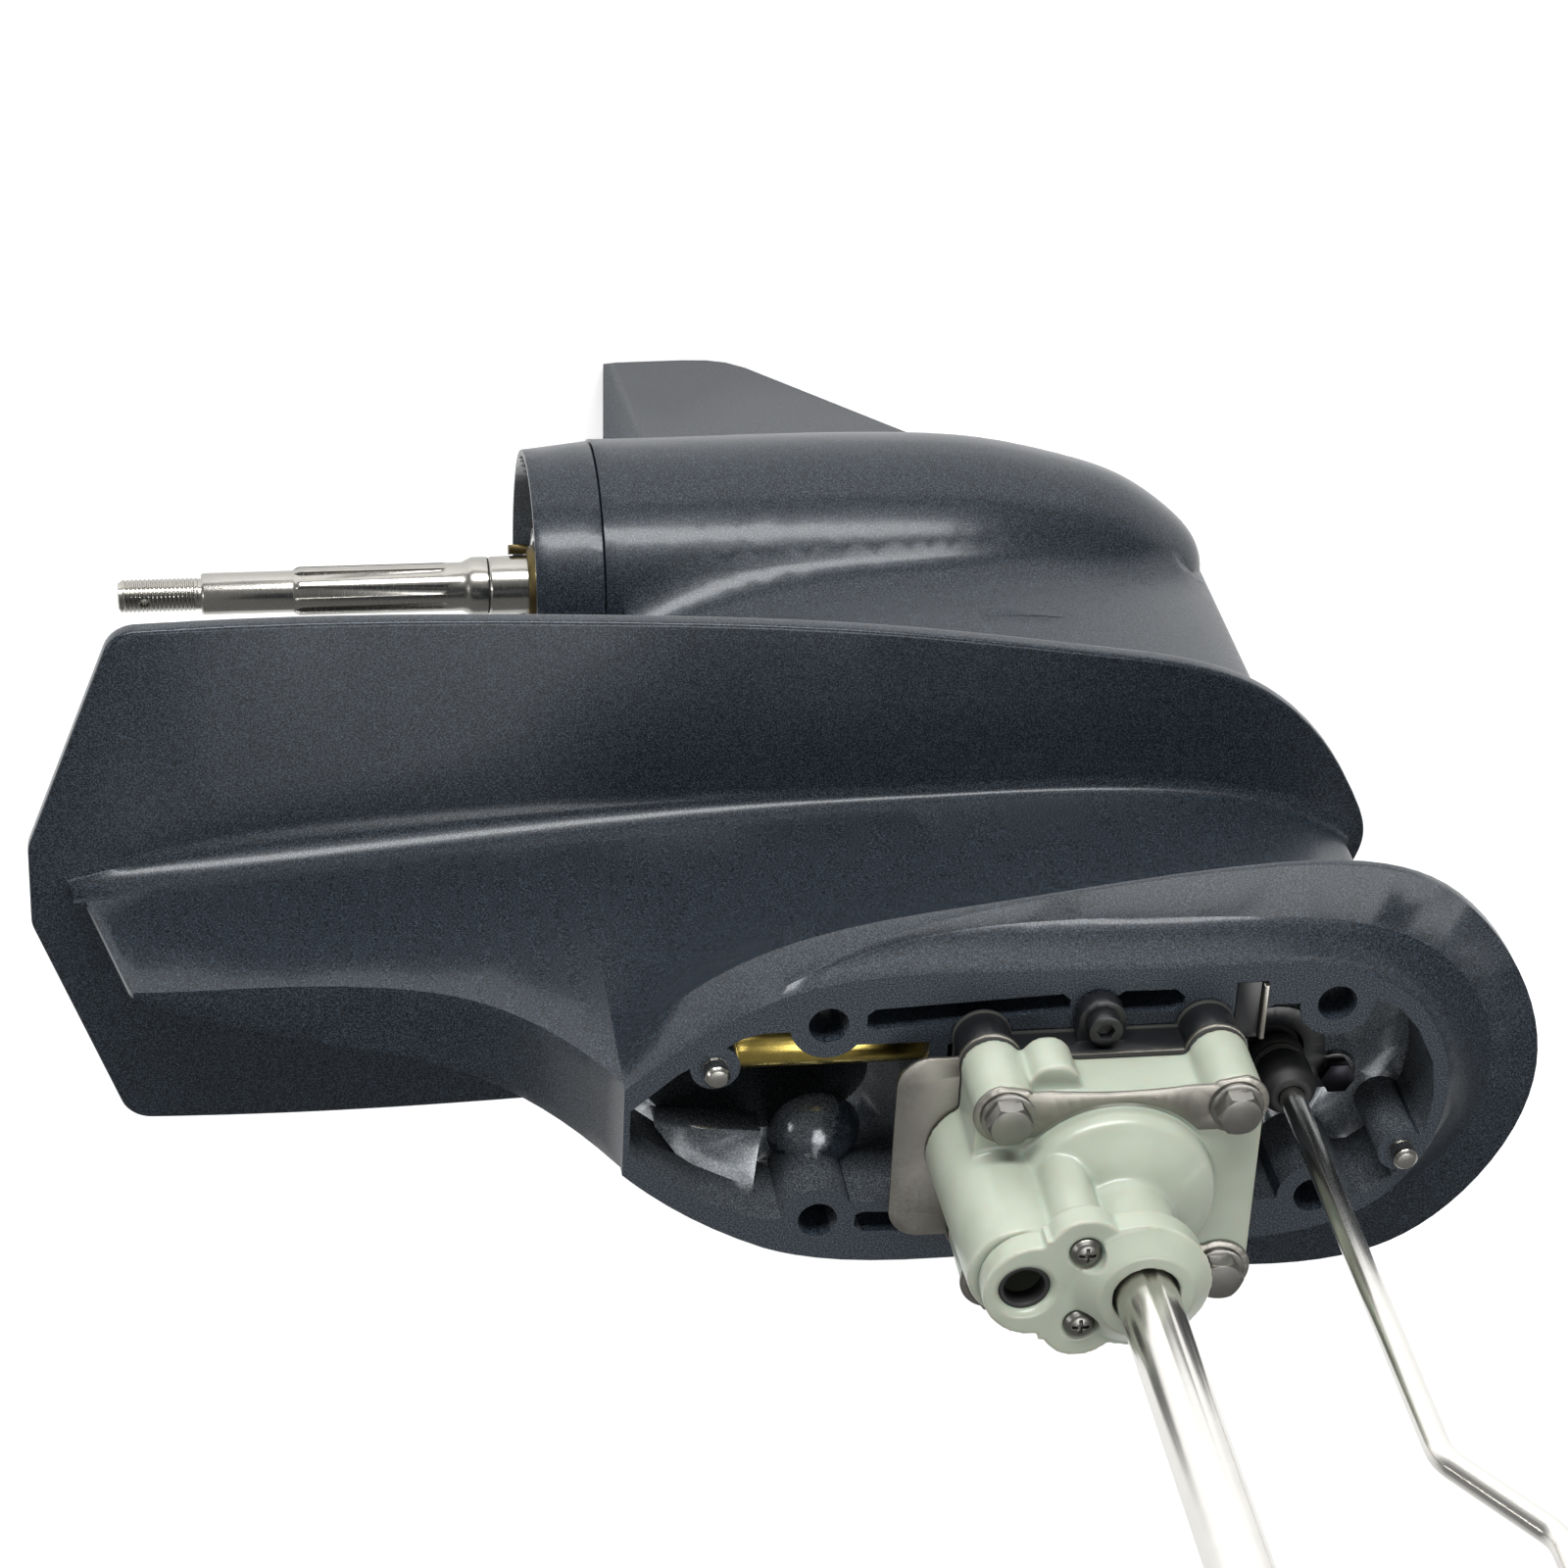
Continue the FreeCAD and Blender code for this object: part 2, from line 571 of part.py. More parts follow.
def shaft_bores():
    drive = [upright(DRIVE_BUSH_R + FIT, SUMP_Z - DRIVE_BUSH_LENGTH, SUMP_Z + 1, DRIVE_X),
             upright(PINION_POCKET_R, PROP_Z + 10, PROP_Z + PINION_BACK - 0.5, DRIVE_X),
             upright(DRIVE_R + 2.5, PROP_Z + 30, SUMP_Z, DRIVE_X),
             upright(PINION_BEARING_R + FIT, PROP_Z + 30, PINION_BEARING_TOP, DRIVE_X)]
    rod = [upright(ROD_R + 1.2, PROP_Z + 10, CHAMBER_Z, ROD_X),
           upright(BOOT_R + 1.5, BOOT_Z, CHAMBER_Z + 1, ROD_X),
           upright(2.5 + FIT, CHAMBER_Z - 12, CHAMBER_Z + 1, GUIDE_BOLT_X, GUIDE_BOLT_Y)]
    return drive + rod


def gear_chamber():
    gears = along(GEAR_CHAMBER_R, CARRIER_HEAD_AFT_X, DRIVE_X + GEAR_BACK + 1)
    bearing = along(BEARING_R + FIT, DRIVE_X, DRIVE_X + GEAR_BACK + 1 + BEARING_WIDTH)
    nose = along(20, DRIVE_X, NOSE_CAVITY_X)
    rear = along(CARRIER_BORE_R, TORPEDO_AFT_X - 5, CARRIER_HEAD_FORE_X)
    bosses = [along(6.5, TORPEDO_AFT_X, -70, 0, PROP_Z + side * (CARRIER_BOLT_RADIUS + 1.5)) for side in (-1, 1)]
    holes = [along(3.0 + FIT, TORPEDO_AFT_X - 1, -74, 0, PROP_Z + side * CARRIER_BOLT_RADIUS) for side in (-1, 1)]
    reach = ROD_TRAVEL + CAM_REACH
    cam = block(CAM_FACE_X - CAM_SLOPE * CAM_REACH - 1, NOSE_CAVITY_X + 1, -6.5, 6.5, PROP_Z - reach - 1.5, PROP_Z + reach + 7)
    return [gears, bearing, nose, cam, rear.cut(bosses[0]).cut(bosses[1])] + holes


def plug_holes():
    cuts = []
    for x, z in PLUG_PLACES:
        cuts.append(cylinder(4.0 + FIT, 30, V(x, -25, z), V(0, -1, 0)))
        cuts.append(cylinder(7.6, 12, V(x, -PLUG_SEAT_Y, z), V(0, -1, 0)))
    cuts.append(upright(3.0 + FIT, PLATE_Z - PLATE_THICK - 2, PLATE_Z + 8, ANODE_X))
    return cuts


def gearcase_housing():
    shape = casing_outside()
    cuts = deck_chambers() + [exhaust_passage()] + water_passage() + pump_sump() + deck_slots() + deck_holes()
    cuts += shaft_bores() + gear_chamber() + plug_holes() + [pump_seat()]
    cuts.append(along(COOLING_TUBE_R + FIT, COOLING_TUBE_X[0], COOLING_TUBE_X[1], COOLING_TUBE_Y, COOLING_TUBE_Z))
    return shape.cut(cuts)


def pump_bolt_places():
    return [(PUMP_X + i * PUMP_BOLT_X, j * PUMP_BOLT_Y) for i in (-1, 1) for j in (1, -1)]


# Bearing carrier and what it holds

def bearing_carrier():
    head = tube(CARRIER_BORE_R - 2 * FIT, BEARING_R + FIT, REVERSE_SHOULDER_X, CARRIER_HEAD_FORE_X)
    web = tube(CARRIER_BORE_R - 2 * FIT, SHAFT_R + 1.5, CARRIER_HEAD_AFT_X, REVERSE_SHOULDER_X)
    neck = tube(CARRIER_TUBE_R, NEEDLE_R + FIT, CARRIER_AFT_X + 3, CARRIER_HEAD_AFT_X)
    inner = CARRIER_RING_AFT_R - CARRIER_RING_WALL
    shell = turned_x([(CARRIER_AFT_X, inner), (CARRIER_AFT_X, CARRIER_RING_AFT_R),
                      (TORPEDO_AFT_X - 0.6, CARRIER_RING_FORE_R), (TORPEDO_AFT_X - 0.2, CARRIER_RING_FORE_R - 0.6),
                      (TORPEDO_AFT_X - 0.2, CARRIER_BORE_R - 0.1), (TORPEDO_AFT_X + 8, CARRIER_BORE_R - 0.1),
                      (TORPEDO_AFT_X + 8, CARRIER_BORE_R - 3), (TORPEDO_AFT_X + 0.5, CARRIER_BORE_R - 3),
                      (TORPEDO_AFT_X - 1.5, inner)])
    ribs = []
    for turn in (45, 135, 225, 315):
        rib = block(CARRIER_AFT_X + 7, CARRIER_HEAD_AFT_X, -2.4, 2.4, PROP_Z + CARRIER_TUBE_R - 2, PROP_Z + CARRIER_BORE_R - 2)
        rib.rotate(V(0, 0, PROP_Z), FORWARD, turn)
        ribs.append(rib)
    ears = [along(6.4, TORPEDO_AFT_X - 9, TORPEDO_AFT_X - 0.2, 0, PROP_Z + side * CARRIER_BOLT_RADIUS) for side in (-1, 1)]
    whole = head.multiFuse([web, neck, shell] + ribs + ears)
    whole = whole.cut(tube(CARRIER_BORE_R + 5, CARRIER_BORE_R - 2.6, O_RING_X - 1.6, O_RING_X + 1.6))
    whole = whole.cut(along(SEAL_R + FIT, CARRIER_AFT_X, SEAL_AFT_X + 11))
    whole = whole.cut(along(SHAFT_COLLAR_R + 1, CARRIER_STEP_X, REVERSE_SHOULDER_X))
    whole = whole.cut(along(GEAR_HUB_R + 1.5, DRIVE_X - GEAR_HUB_END - 1, REVERSE_SHOULDER_X))
    for side in (-1, 1):
        z = PROP_Z + side * CARRIER_BOLT_RADIUS
        whole = whole.cut(along(3.3, CARRIER_AFT_X, TORPEDO_AFT_X + 2, 0, z))
        whole = whole.cut(along(7.0, TORPEDO_AFT_X - 0.1, TORPEDO_AFT_X + 9, 0, PROP_Z + side * (CARRIER_BOLT_RADIUS + 1.5)))
    return whole.removeSplitter()


def carrier_o_ring():
    return tube(CARRIER_BORE_R - FIT, CARRIER_BORE_R - 2.5, O_RING_X - 1.4, O_RING_X + 1.4)


def carrier_bolts():
    bolts = []
    for side in (-1, 1):
        z = PROP_Z + side * CARRIER_BOLT_RADIUS
        seat = TORPEDO_AFT_X - 9
        head = hexagon(10, 0, 4.2, 0, 0)
        head.rotate(V(0, 0, 0), V(0, 1, 0), -90)
        head.translate(V(seat - 1.5, 0, z))
        washer = along(6, seat - 1.5, seat, 0, z)
        bolts.append(head.fuse(washer).fuse(along(3.0, seat - 1, TORPEDO_AFT_X + 16, 0, z)))
    return Part.makeCompound(bolts)


def propshaft_seals():
    return Part.makeCompound([tube(SEAL_R, SHAFT_R + RUNNING, SEAL_AFT_X + i * 5.2, SEAL_AFT_X + i * 5.2 + 4.8)
                              for i in (0, 1)])


def carrier_needle_bearing():
    return tube(NEEDLE_R, SHAFT_R + RUNNING, NEEDLE_AFT_X, NEEDLE_AFT_X + 18)


def thrust_washer():
    return tube(SHAFT_COLLAR_R + 0.8, SHAFT_R + MOVING, CARRIER_STEP_X + FIT, COLLAR_AFT_X - MOVING)


def bearing_outer(direction):
    """Tapered cup of a gear's bearing; direction is +1 for the forward gear."""
    near = GEAR_BACK + 1.2
    far = near + BEARING_WIDTH - 0.22
    corners = [(near, BEARING_R), (far, BEARING_R), (far, 26.2), (near, 28.6)]
    return turned_x([(DRIVE_X + direction * x, r) for x, r in corners])


def bearing_inner(direction):
    """Cone of a gear's bearing with its rollers and cage in one ring."""
    near = GEAR_BACK + FIT
    far = near + BEARING_WIDTH + 0.5
    corners = [(near, GEAR_HUB_R + FIT), (near, 24.5), (near + 1.2, 28.6 - MOVING), (far - 2.2, 26.4 - MOVING),
               (far - 1.4, 23.0), (far, 22.5), (far, GEAR_HUB_R + FIT)]
    return turned_x([(DRIVE_X + direction * x, r) for x, r in corners])


# Gears

def bevel_teeth(teeth, mate):
    """Teeth about the local Z axis with the cones' shared point at the origin and one tooth centred on X."""
    cone = math.atan2(teeth, mate)
    reach = GEAR_MODULE / 2 * math.hypot(teeth, mate)
    virtual = reach * math.tan(cone)
    base = virtual * math.cos(math.radians(PRESSURE_ANGLE))

    def involute(radius):
        angle = math.acos(min(1.0, base / radius))
        return math.tan(angle) - angle

    half_angle = math.pi * GEAR_MODULE / 4 / virtual - BACKLASH / 2 / virtual + involute(virtual)
    root = virtual - DEDENDUM * GEAR_MODULE
    tip = virtual + ADDENDUM * GEAR_MODULE
    radii = [root - 0.9, max(base, root), (max(base, root) + virtual) / 2, virtual, (virtual + tip) / 2, tip]
    flank = [(r, half_angle - involute(max(r, base))) for r in radii]
    corners = flank + [(r, -a) for r, a in reversed(flank)]

    def end(scale):
        points = []
        for r, a in corners:
            out = r * math.cos(a) - virtual
            points.append(V(reach * math.sin(cone) + out * math.cos(cone), r * math.sin(a),
                            reach * math.cos(cone) - out * math.sin(cone)) * scale)
        return Part.makePolygon(points + [points[0]])

    tooth = Part.makeLoft([end(1.0), end(1.0 - FACE_WIDTH / reach)], True, True)
    copies = []
    for i in range(teeth):
        copy = tooth.copy()
        copy.rotate(V(0, 0, 0), UP, 360.0 * i / teeth)
        copies.append(copy)
    root_r = reach * math.sin(cone) - DEDENDUM * GEAR_MODULE * math.cos(cone)
    root_z = reach * math.cos(cone) + DEDENDUM * GEAR_MODULE * math.sin(cone)
    return copies, root_r, root_z, 1.0 - FACE_WIDTH / reach


def pinion():
    copies, root_r, root_z, inner = bevel_teeth(PINION_TEETH, GEAR_TEETH)
    blank = turned_z([(PINION_BORE_R + FIT, PINION_NOSE), (root_r * inner - 0.8, PINION_NOSE),
                      (root_r * inner, root_z * inner), (root_r, root_z), (root_r - 1.6, root_z + 0.8),
                      (root_r - 1.6, PINION_BACK), (PINION_BORE_R + FIT, PINION_BACK)])
    gear = blank.multiFuse(copies).cut(upright(PINION_BORE_R + FIT, 0, 60))
    gear.translate(V(DRIVE_X, 0, PROP_Z))
    return gear


def dog_sector(inner, outer, aft, fore, angle, at):
    face = flat_face([V(aft, 0, PROP_Z + inner), V(fore, 0, PROP_Z + inner), V(fore, 0, PROP_Z + outer),
                      V(aft, 0, PROP_Z + outer)])
    sector = face.revolve(V(0, 0, PROP_Z), FORWARD, angle)
    sector.rotate(V(0, 0, PROP_Z), FORWARD, at - angle / 2)
    return sector


def driven_gear(direction):
    """Bevel gear on the propeller shaft: +1 is the forward gear, -1 the reverse gear."""
    copies, root_r, root_z, inner = bevel_teeth(GEAR_TEETH, PINION_TEETH)
    bore = SHAFT_R + RUNNING
    blank = turned_z([(bore, GEAR_DOG_FACE), (root_r * inner - 0.6, GEAR_DOG_FACE), (root_r * inner, root_z * inner),
                      (root_r, root_z), (root_r - 2.2, GEAR_BACK), (GEAR_HUB_R, GEAR_BACK), (GEAR_HUB_R, GEAR_HUB_END),
                      (bore, GEAR_HUB_END)])
    gear = blank.multiFuse(copies)
    gear.rotate(V(0, 0, 0), V(0, 1, 0), 90 * direction)
    gear.translate(V(DRIVE_X, 0, PROP_Z))
    for i in range(DOG_COUNT):
        near = DRIVE_X + direction * (GEAR_DOG_FACE - 1)
        far = DRIVE_X + direction * (GEAR_DOG_FACE + DOG_POCKET_DEPTH)
        gear = gear.cut(dog_sector(DOG_INNER_R - 0.5, CLUTCH_R + 0.5, min(near, far), max(near, far),
                                   DOG_POCKET_ANGLE, 360.0 / DOG_COUNT * i))
    return gear


# Propeller shaft and clutch

def propshaft():
    profile = [(SHAFT_AFT_X, 0), (SHAFT_AFT_X, SHAFT_THREAD_R - 1), (SHAFT_AFT_X + 1, SHAFT_THREAD_R),
               (SHAFT_THREAD_X, SHAFT_THREAD_R), (SHAFT_THREAD_X, SHAFT_PLAIN_R - 0.5),
               (SHAFT_THREAD_X + 0.8, SHAFT_PLAIN_R), (SHAFT_SPLINE_AFT_X - 2, SHAFT_PLAIN_R),
               (SHAFT_SPLINE_AFT_X, SHAFT_SPLINE_R), (SHAFT_SPLINE_FORE_X, SHAFT_SPLINE_R),
               (SHAFT_SPLINE_FORE_X + 3, SHAFT_R), (THRUST_GROOVE_X - 0.6, SHAFT_R), (THRUST_GROOVE_X, SHAFT_R - 0.5),
               (THRUST_GROOVE_X + 0.6, SHAFT_R), (COLLAR_AFT_X, SHAFT_R),
               (COLLAR_AFT_X, SHAFT_COLLAR_R), (COLLAR_AFT_X + 2.6, SHAFT_COLLAR_R), (COLLAR_AFT_X + 2.6, SHAFT_R),
               (SHAFT_FRONT_X - 1, SHAFT_R), (SHAFT_FRONT_X, SHAFT_R - 1), (SHAFT_FRONT_X, 0)]
    shaft = turned_x(profile)
    cuts = [along(SHAFT_BORE_R, SHAFT_BORE_END_X, SHAFT_FRONT_X + 1)]
    travel = ROD_TRAVEL * CAM_SLOPE + MOVING
    cuts.append(block(DRIVE_X - travel - PIN_R, DRIVE_X + travel + PIN_R, -20, 20,
                      PROP_Z - PIN_R - 0.1, PROP_Z + PIN_R + 0.1))
    cuts.append(cylinder(COTTER_R, 20, V(COTTER_X, 0, PROP_Z - 10), UP))
    depth = SHAFT_SPLINE_ROOT_R
    for i in range(SHAFT_SPLINES):
        groove = side_prism([(SHAFT_SPLINE_AFT_X - 3, PROP_Z + depth), (SHAFT_SPLINE_FORE_X - 7, PROP_Z + depth),
                             (SHAFT_SPLINE_FORE_X + 1, PROP_Z + SHAFT_SPLINE_R + 2),
                             (SHAFT_SPLINE_AFT_X - 3, PROP_Z + SHAFT_SPLINE_R + 2)], 1.45)
        groove.rotate(V(0, 0, PROP_Z), FORWARD, 360.0 / SHAFT_SPLINES * (i + 0.5))
        cuts.append(groove)
    for i in range(6):
        key = block(DRIVE_X - travel - CLUTCH_HALF - 1, DRIVE_X + travel + CLUTCH_HALF + 1, -1.5, 1.5,
                    PROP_Z + KEYWAY_R, PROP_Z + SHAFT_R + 2)
        key.rotate(V(0, 0, PROP_Z), FORWARD, 60.0 * i)
        cuts.append(key)
    return shaft.cut(cuts)


def dog_clutch():
    aft, fore = DRIVE_X - CLUTCH_HALF, DRIVE_X + CLUTCH_HALF
    body = tube(CLUTCH_R, SHAFT_R + RUNNING, aft, fore)
    keys = []
    for i in range(6):
        key = block(aft, fore, -1.4, 1.4, PROP_Z + KEYWAY_R + 0.1, PROP_Z + SHAFT_R + 1.5)
        key.rotate(V(0, 0, PROP_Z), FORWARD, 60.0 * i)
        keys.append(key)
    dogs = []
    for i in range(DOG_COUNT):
        at = 360.0 / DOG_COUNT * i
        dogs.append(dog_sector(DOG_INNER_R, CLUTCH_R, fore - 0.5, fore + DOG_LENGTH, DOG_ANGLE, at))
        dogs.append(dog_sector(DOG_INNER_R, CLUTCH_R, aft - DOG_LENGTH, aft + 0.5, DOG_ANGLE, at))
    body = body.multiFuse(keys + dogs)
    body = body.cut(tube(CLUTCH_R + 5, CLUTCH_R - 1.0, DRIVE_X - 1.3, DRIVE_X + 1.3))
    return body.cut(cylinder(PIN_R + FIT, 60, V(DRIVE_X, -30, PROP_Z), V(0, 1, 0)))


def clutch_pin():
    half = CLUTCH_R - 1.1
    return cylinder(PIN_R, 2 * half, V(DRIVE_X, -half, PROP_Z), V(0, 1, 0))


def clutch_pin_ring():
    return tube(CLUTCH_R - 0.1, CLUTCH_R - 1.0 + FIT, DRIVE_X - 1.2, DRIVE_X + 1.2)


def shift_slider():
    rod = along(SHAFT_BORE_R - RUNNING, DRIVE_X - 7.5, PLUNGER_X - MOVING)
    return rod.cut(cylinder(PIN_R + FIT, 20, V(DRIVE_X, -10, PROP_Z), V(0, 1, 0)))


def shift_spring():
    """Return spring at the blind end of the shaft's bore, as a plain sleeve of its coil size."""
    return tube(SHAFT_BORE_R - 0.3, SHAFT_BORE_R - 1.4, SHAFT_BORE_END_X + 0.3, DRIVE_X - 7.5 - MOVING)


def propshaft_thrust_collar():
    """Brass collar just clear of the oil seals, with a lug that reaches out of the carrier's mouth."""
    collar = turned_x([(CARRIER_AFT_X + 0.4, SHAFT_R + FIT), (CARRIER_AFT_X + 0.4, SHAFT_R + 2.2),
                       (CARRIER_AFT_X + 2.8, SHAFT_R + 3.2), (CARRIER_AFT_X + 2.8, SHAFT_R + FIT)])
    lug = block(CARRIER_AFT_X - 4.6, CARRIER_AFT_X + 1, -2.6, 2.6, PROP_Z + SHAFT_R + 0.4, PROP_Z + SHAFT_R + 3.2)
    lug.rotate(V(0, 0, PROP_Z), FORWARD, -120)
    return collar.fuse(lug)


# Shift rod, cam and plunger

def shift_plunger():
    """Rod with a round nose that rests on the cam's slope."""
    slope = math.hypot(1.0, CAM_SLOPE)
    centre = CAM_FACE_X - (PLUNGER_R + 0.22) * slope
    return along(PLUNGER_R, PLUNGER_X, centre).fuse(Part.makeSphere(PLUNGER_R, V(centre, 0, PROP_Z)))


def cam_face(z):
    return CAM_FACE_X - CAM_SLOPE * (z - PROP_Z)


def shift_cam():
    """Wedge at the shift rod's foot: raising it pushes the plunger forward of neutral."""
    low, high = PROP_Z - CAM_REACH, PROP_Z + CAM_REACH
    wedge = side_prism([(cam_face(low), low), (cam_face(low) + 3.5, low), (CAM_FRONT_X, PROP_Z + 2), (CAM_FRONT_X, high),
                        (CAM_FRONT_X, high + 6), (cam_face(high), high + 6), (cam_face(high), high)], 5)
    return wedge.cut(upright(ROD_R + FIT, high - 4, high + 8, ROD_X))


def shift_rod():
    foot = PROP_Z + CAM_REACH - 4
    angle = math.atan2(ROD_JOG, ROD_JOG_RISE)
    run = ROD_BEND_RADIUS * math.tan(angle / 2)
    low, high = ROD_BEND_Z - run, ROD_BEND_Z + ROD_JOG_RISE + run
    bends = []
    upper = ROD_X + ROD_JOG
    for x, z, centre in ((ROD_X, low, ROD_X + ROD_BEND_RADIUS), (upper, high, upper - ROD_BEND_RADIUS)):
        disc = Part.Face(Part.Wire([Part.makeCircle(ROD_R, V(x, 0, z), UP)]))
        bends.append(disc.revolve(V(centre, 0, z), V(0, 1, 0), math.degrees(angle)))
    start = V(ROD_X + ROD_BEND_RADIUS * (1 - math.cos(angle)), 0, low + ROD_BEND_RADIUS * math.sin(angle))
    end = V(2 * ROD_X + ROD_JOG - start.x, 0, low + high - start.z)
    slant = end - start
    middle = cylinder(ROD_R, slant.Length, start, slant)
    top = upright(ROD_R, high, ROD_TOP_Z, upper)
    clip = ROD_TOP_Z - ROD_CLIP_DROP
    top = top.cut(ring(ROD_R + 1, ROD_R - 0.5, clip - 1.2, clip, upper))
    return upright(ROD_R, foot, low, ROD_X).multiFuse(bends + [middle, top])


def rod_boot():
    """Ribbed rubber boot that seals the shift rod."""
    bore = ROD_R + RUNNING
    profile = [(bore, BOOT_Z), (BOOT_R, BOOT_Z), (BOOT_R, BOOT_Z + 9)]
    for i in range(3):
        z = BOOT_Z + 9 + i * 7
        profile += [(BOOT_R - 2, z + 1), (BOOT_R - 2, z + 3), (BOOT_R - 0.4, z + 4), (BOOT_R - 0.4, z + 6.6)]
    profile += [(BOOT_R - 0.8, BOOT_TOP - 3), (BOOT_R - 2.6, BOOT_TOP), (bore, BOOT_TOP)]
    return turned_z(profile, ROD_X)


def boot_clamp_ring():
    """Grey clamp ring in the boot's top groove."""
    z = BOOT_Z + 9 + 2 * 7
    return ring(BOOT_R - 0.9, BOOT_R - 2 + FIT, z + 1.1, z + 2.9, ROD_X)


def rod_guide_plate():
    """Steel plate round the boot, bolted to the chamber's floor."""
    z = CHAMBER_Z + FIT
    plate = upright(BOOT_R + 6.0, z, z + 1.6, ROD_X)
    ear = upright(5.5, z, z + 1.6, GUIDE_BOLT_X, GUIDE_BOLT_Y)
    arm = block(ROD_X, GUIDE_BOLT_X, GUIDE_BOLT_Y - 5, GUIDE_BOLT_Y + 5, z, z + 1.6)
    whole = plate.multiFuse([ear, arm]).removeSplitter()
    whole = whole.cut(upright(BOOT_R + 0.3, z - 1, z + 3, ROD_X))
    whole = whole.cut(upright(2.6, z - 1, z + 3, GUIDE_BOLT_X, GUIDE_BOLT_Y))
    right = NOTCH_X + NOTCH_WIDTH / 2
    strip = block(right - 1.3, right - FIT, 20.4, 36.4, -7.7, 1.2)
    return Part.makeCompound([whole, strip])


def rod_guide_bolt():
    z = CHAMBER_Z + FIT + 1.6
    head = hexagon(8, z, z + 3.6, GUIDE_BOLT_X, GUIDE_BOLT_Y)
    return head.fuse(upright(2.5, z - 11, z + 1, GUIDE_BOLT_X, GUIDE_BOLT_Y))


# Driveshaft

def driveshaft():
    foot = PROP_Z + PINION_BACK + 1.7
    thread = PROP_Z + PINION_NOSE
    top = DRIVE_TOP_Z - DRIVE_SPLINE_LENGTH
    pilot = DRIVE_TOP_Z - PILOT_LENGTH
    shaft = turned_z([(0, PROP_Z + NUT_FOOT + 0.4), (4.0, PROP_Z + NUT_FOOT + 0.4), (4.0, thread), (PINION_BORE_R, thread),
                      (PINION_BORE_R, foot), (DRIVE_R, foot), (DRIVE_R, top), (DRIVE_SPLINE_R, top + 1),
                      (DRIVE_SPLINE_R, pilot - 1), (DRIVE_SPLINE_R - 1, pilot), (PILOT_R - 0.5, pilot),
                      (PILOT_R - 0.5, pilot + 1), (PILOT_R, pilot + 1), (PILOT_R, DRIVE_TOP_Z - 1),
                      (PILOT_R - 1, DRIVE_TOP_Z), (0, DRIVE_TOP_Z)], DRIVE_X)
    grooves = []
    for i in range(10):
        groove = block(DRIVE_SPLINE_R - 0.9, DRIVE_SPLINE_R + 2, -0.9, 0.9, top + 4, pilot + 0.5)
        groove.rotate(V(0, 0, 0), UP, 36.0 * i)
        groove.translate(V(DRIVE_X, 0, 0))
        grooves.append(groove)
    flat = block(DRIVE_X - 2, DRIVE_X + 2, DRIVE_R - 1.6, DRIVE_R + 2, IMPELLER_Z + 2, IMPELLER_Z + 13)
    return shaft.cut(grooves + [flat])


def pinion_nut():
    z = PROP_Z + NUT_FOOT
    return hexagon(13, z, PROP_Z + PINION_NOSE - FIT, DRIVE_X, 0).cut(upright(4.0 + FIT, z - 1, z + 20, DRIVE_X))


def pinion_thrust_washer():
    z = PROP_Z + PINION_BACK + FIT
    return ring(12.5, PINION_BORE_R + FIT, z, z + 1.5, DRIVE_X)


def pinion_bearing():
    return ring(PINION_BEARING_R, DRIVE_R + RUNNING, PINION_BEARING_TOP - PINION_BEARING_LENGTH, PINION_BEARING_TOP, DRIVE_X)


def driveshaft_bush():
    return ring(DRIVE_BUSH_R, DRIVE_R + RUNNING, SUMP_Z - DRIVE_BUSH_LENGTH, SUMP_Z, DRIVE_X)


def driveshaft_seals():
    return Part.makeCompound([ring(12.0, DRIVE_R + RUNNING, z, z + 4, DRIVE_X) for z in (1.6, 6.2)])


# Water pump

def pump_outline(grow, low, high):
    """Plan of the pump's flange: a body with a boss at each bolt and hollowed sides."""
    shapes = [block(PUMP_X - PUMP_BOLT_X - 7.2 - grow, PUMP_X + PUMP_BOLT_X + 7.6 + grow, -PUMP_BOLT_Y, PUMP_BOLT_Y, low, high),
              block(PUMP_X - PUMP_BOLT_X, PUMP_X + PUMP_BOLT_X, -25.6 - grow, 25.6 + grow, low, high)]
    shapes += [upright(PUMP_BOSS_R + grow, low, high, x, y) for x, y in pump_bolt_places()]
    return fused(shapes)


def bolt_holes(shape, low, high, clearance=0.35):
    return shape.cut([upright(PUMP_BOLT_R + clearance, low - 1, high + 1, x, y) for x, y in pump_bolt_places()])


def pump_base():
    flange = pump_outline(-0.6, PUMP_BASE_Z, PUMP_BASE_TOP)
    spigot = block(-30, 34, -21.6, 21.6, SUMP_Z + 6, PUMP_BASE_Z + 1)
    tabs = []
    for side in (-1, 1):
        tabs.append(upright(6.0, PUMP_BASE_Z, PUMP_BASE_Z + 4.5, BASE_SCREW_X, side * BASE_SCREW_Y))
        low, high = sorted((side * 20, side * BASE_SCREW_Y))
        tabs.append(block(BASE_SCREW_X - 6, BASE_SCREW_X + 6, low, high, PUMP_BASE_Z, PUMP_BASE_Z + 4.5))
    guide = block(NOTCH_X - NOTCH_WIDTH / 2 + 0.3, NOTCH_X + NOTCH_WIDTH / 2 - 1.6, 20.3, 36.6, -6.5, -0.4)
    link = block(33, NOTCH_X + 1, 20.3, 22.0, -6.5, -0.4)
    base = flange.multiFuse([spigot, guide, link] + tabs)
    cuts = [upright(12.0 + FIT, PUMP_BASE_Z + 0.7, PUMP_BASE_TOP + 1, DRIVE_X), upright(9.5, SUMP_Z, 5, DRIVE_X)]
    for side in (-1, 1):
        cuts.append(upright(BASE_SCREW_R + 0.2, -2, 8, BASE_SCREW_X, side * BASE_SCREW_Y))
    cuts.append(upright(4.5, SUMP_Z, PUMP_BASE_TOP + 1, 22))
    return bolt_holes(base.cut(cuts), SUMP_Z, PUMP_BASE_TOP, 0.05)


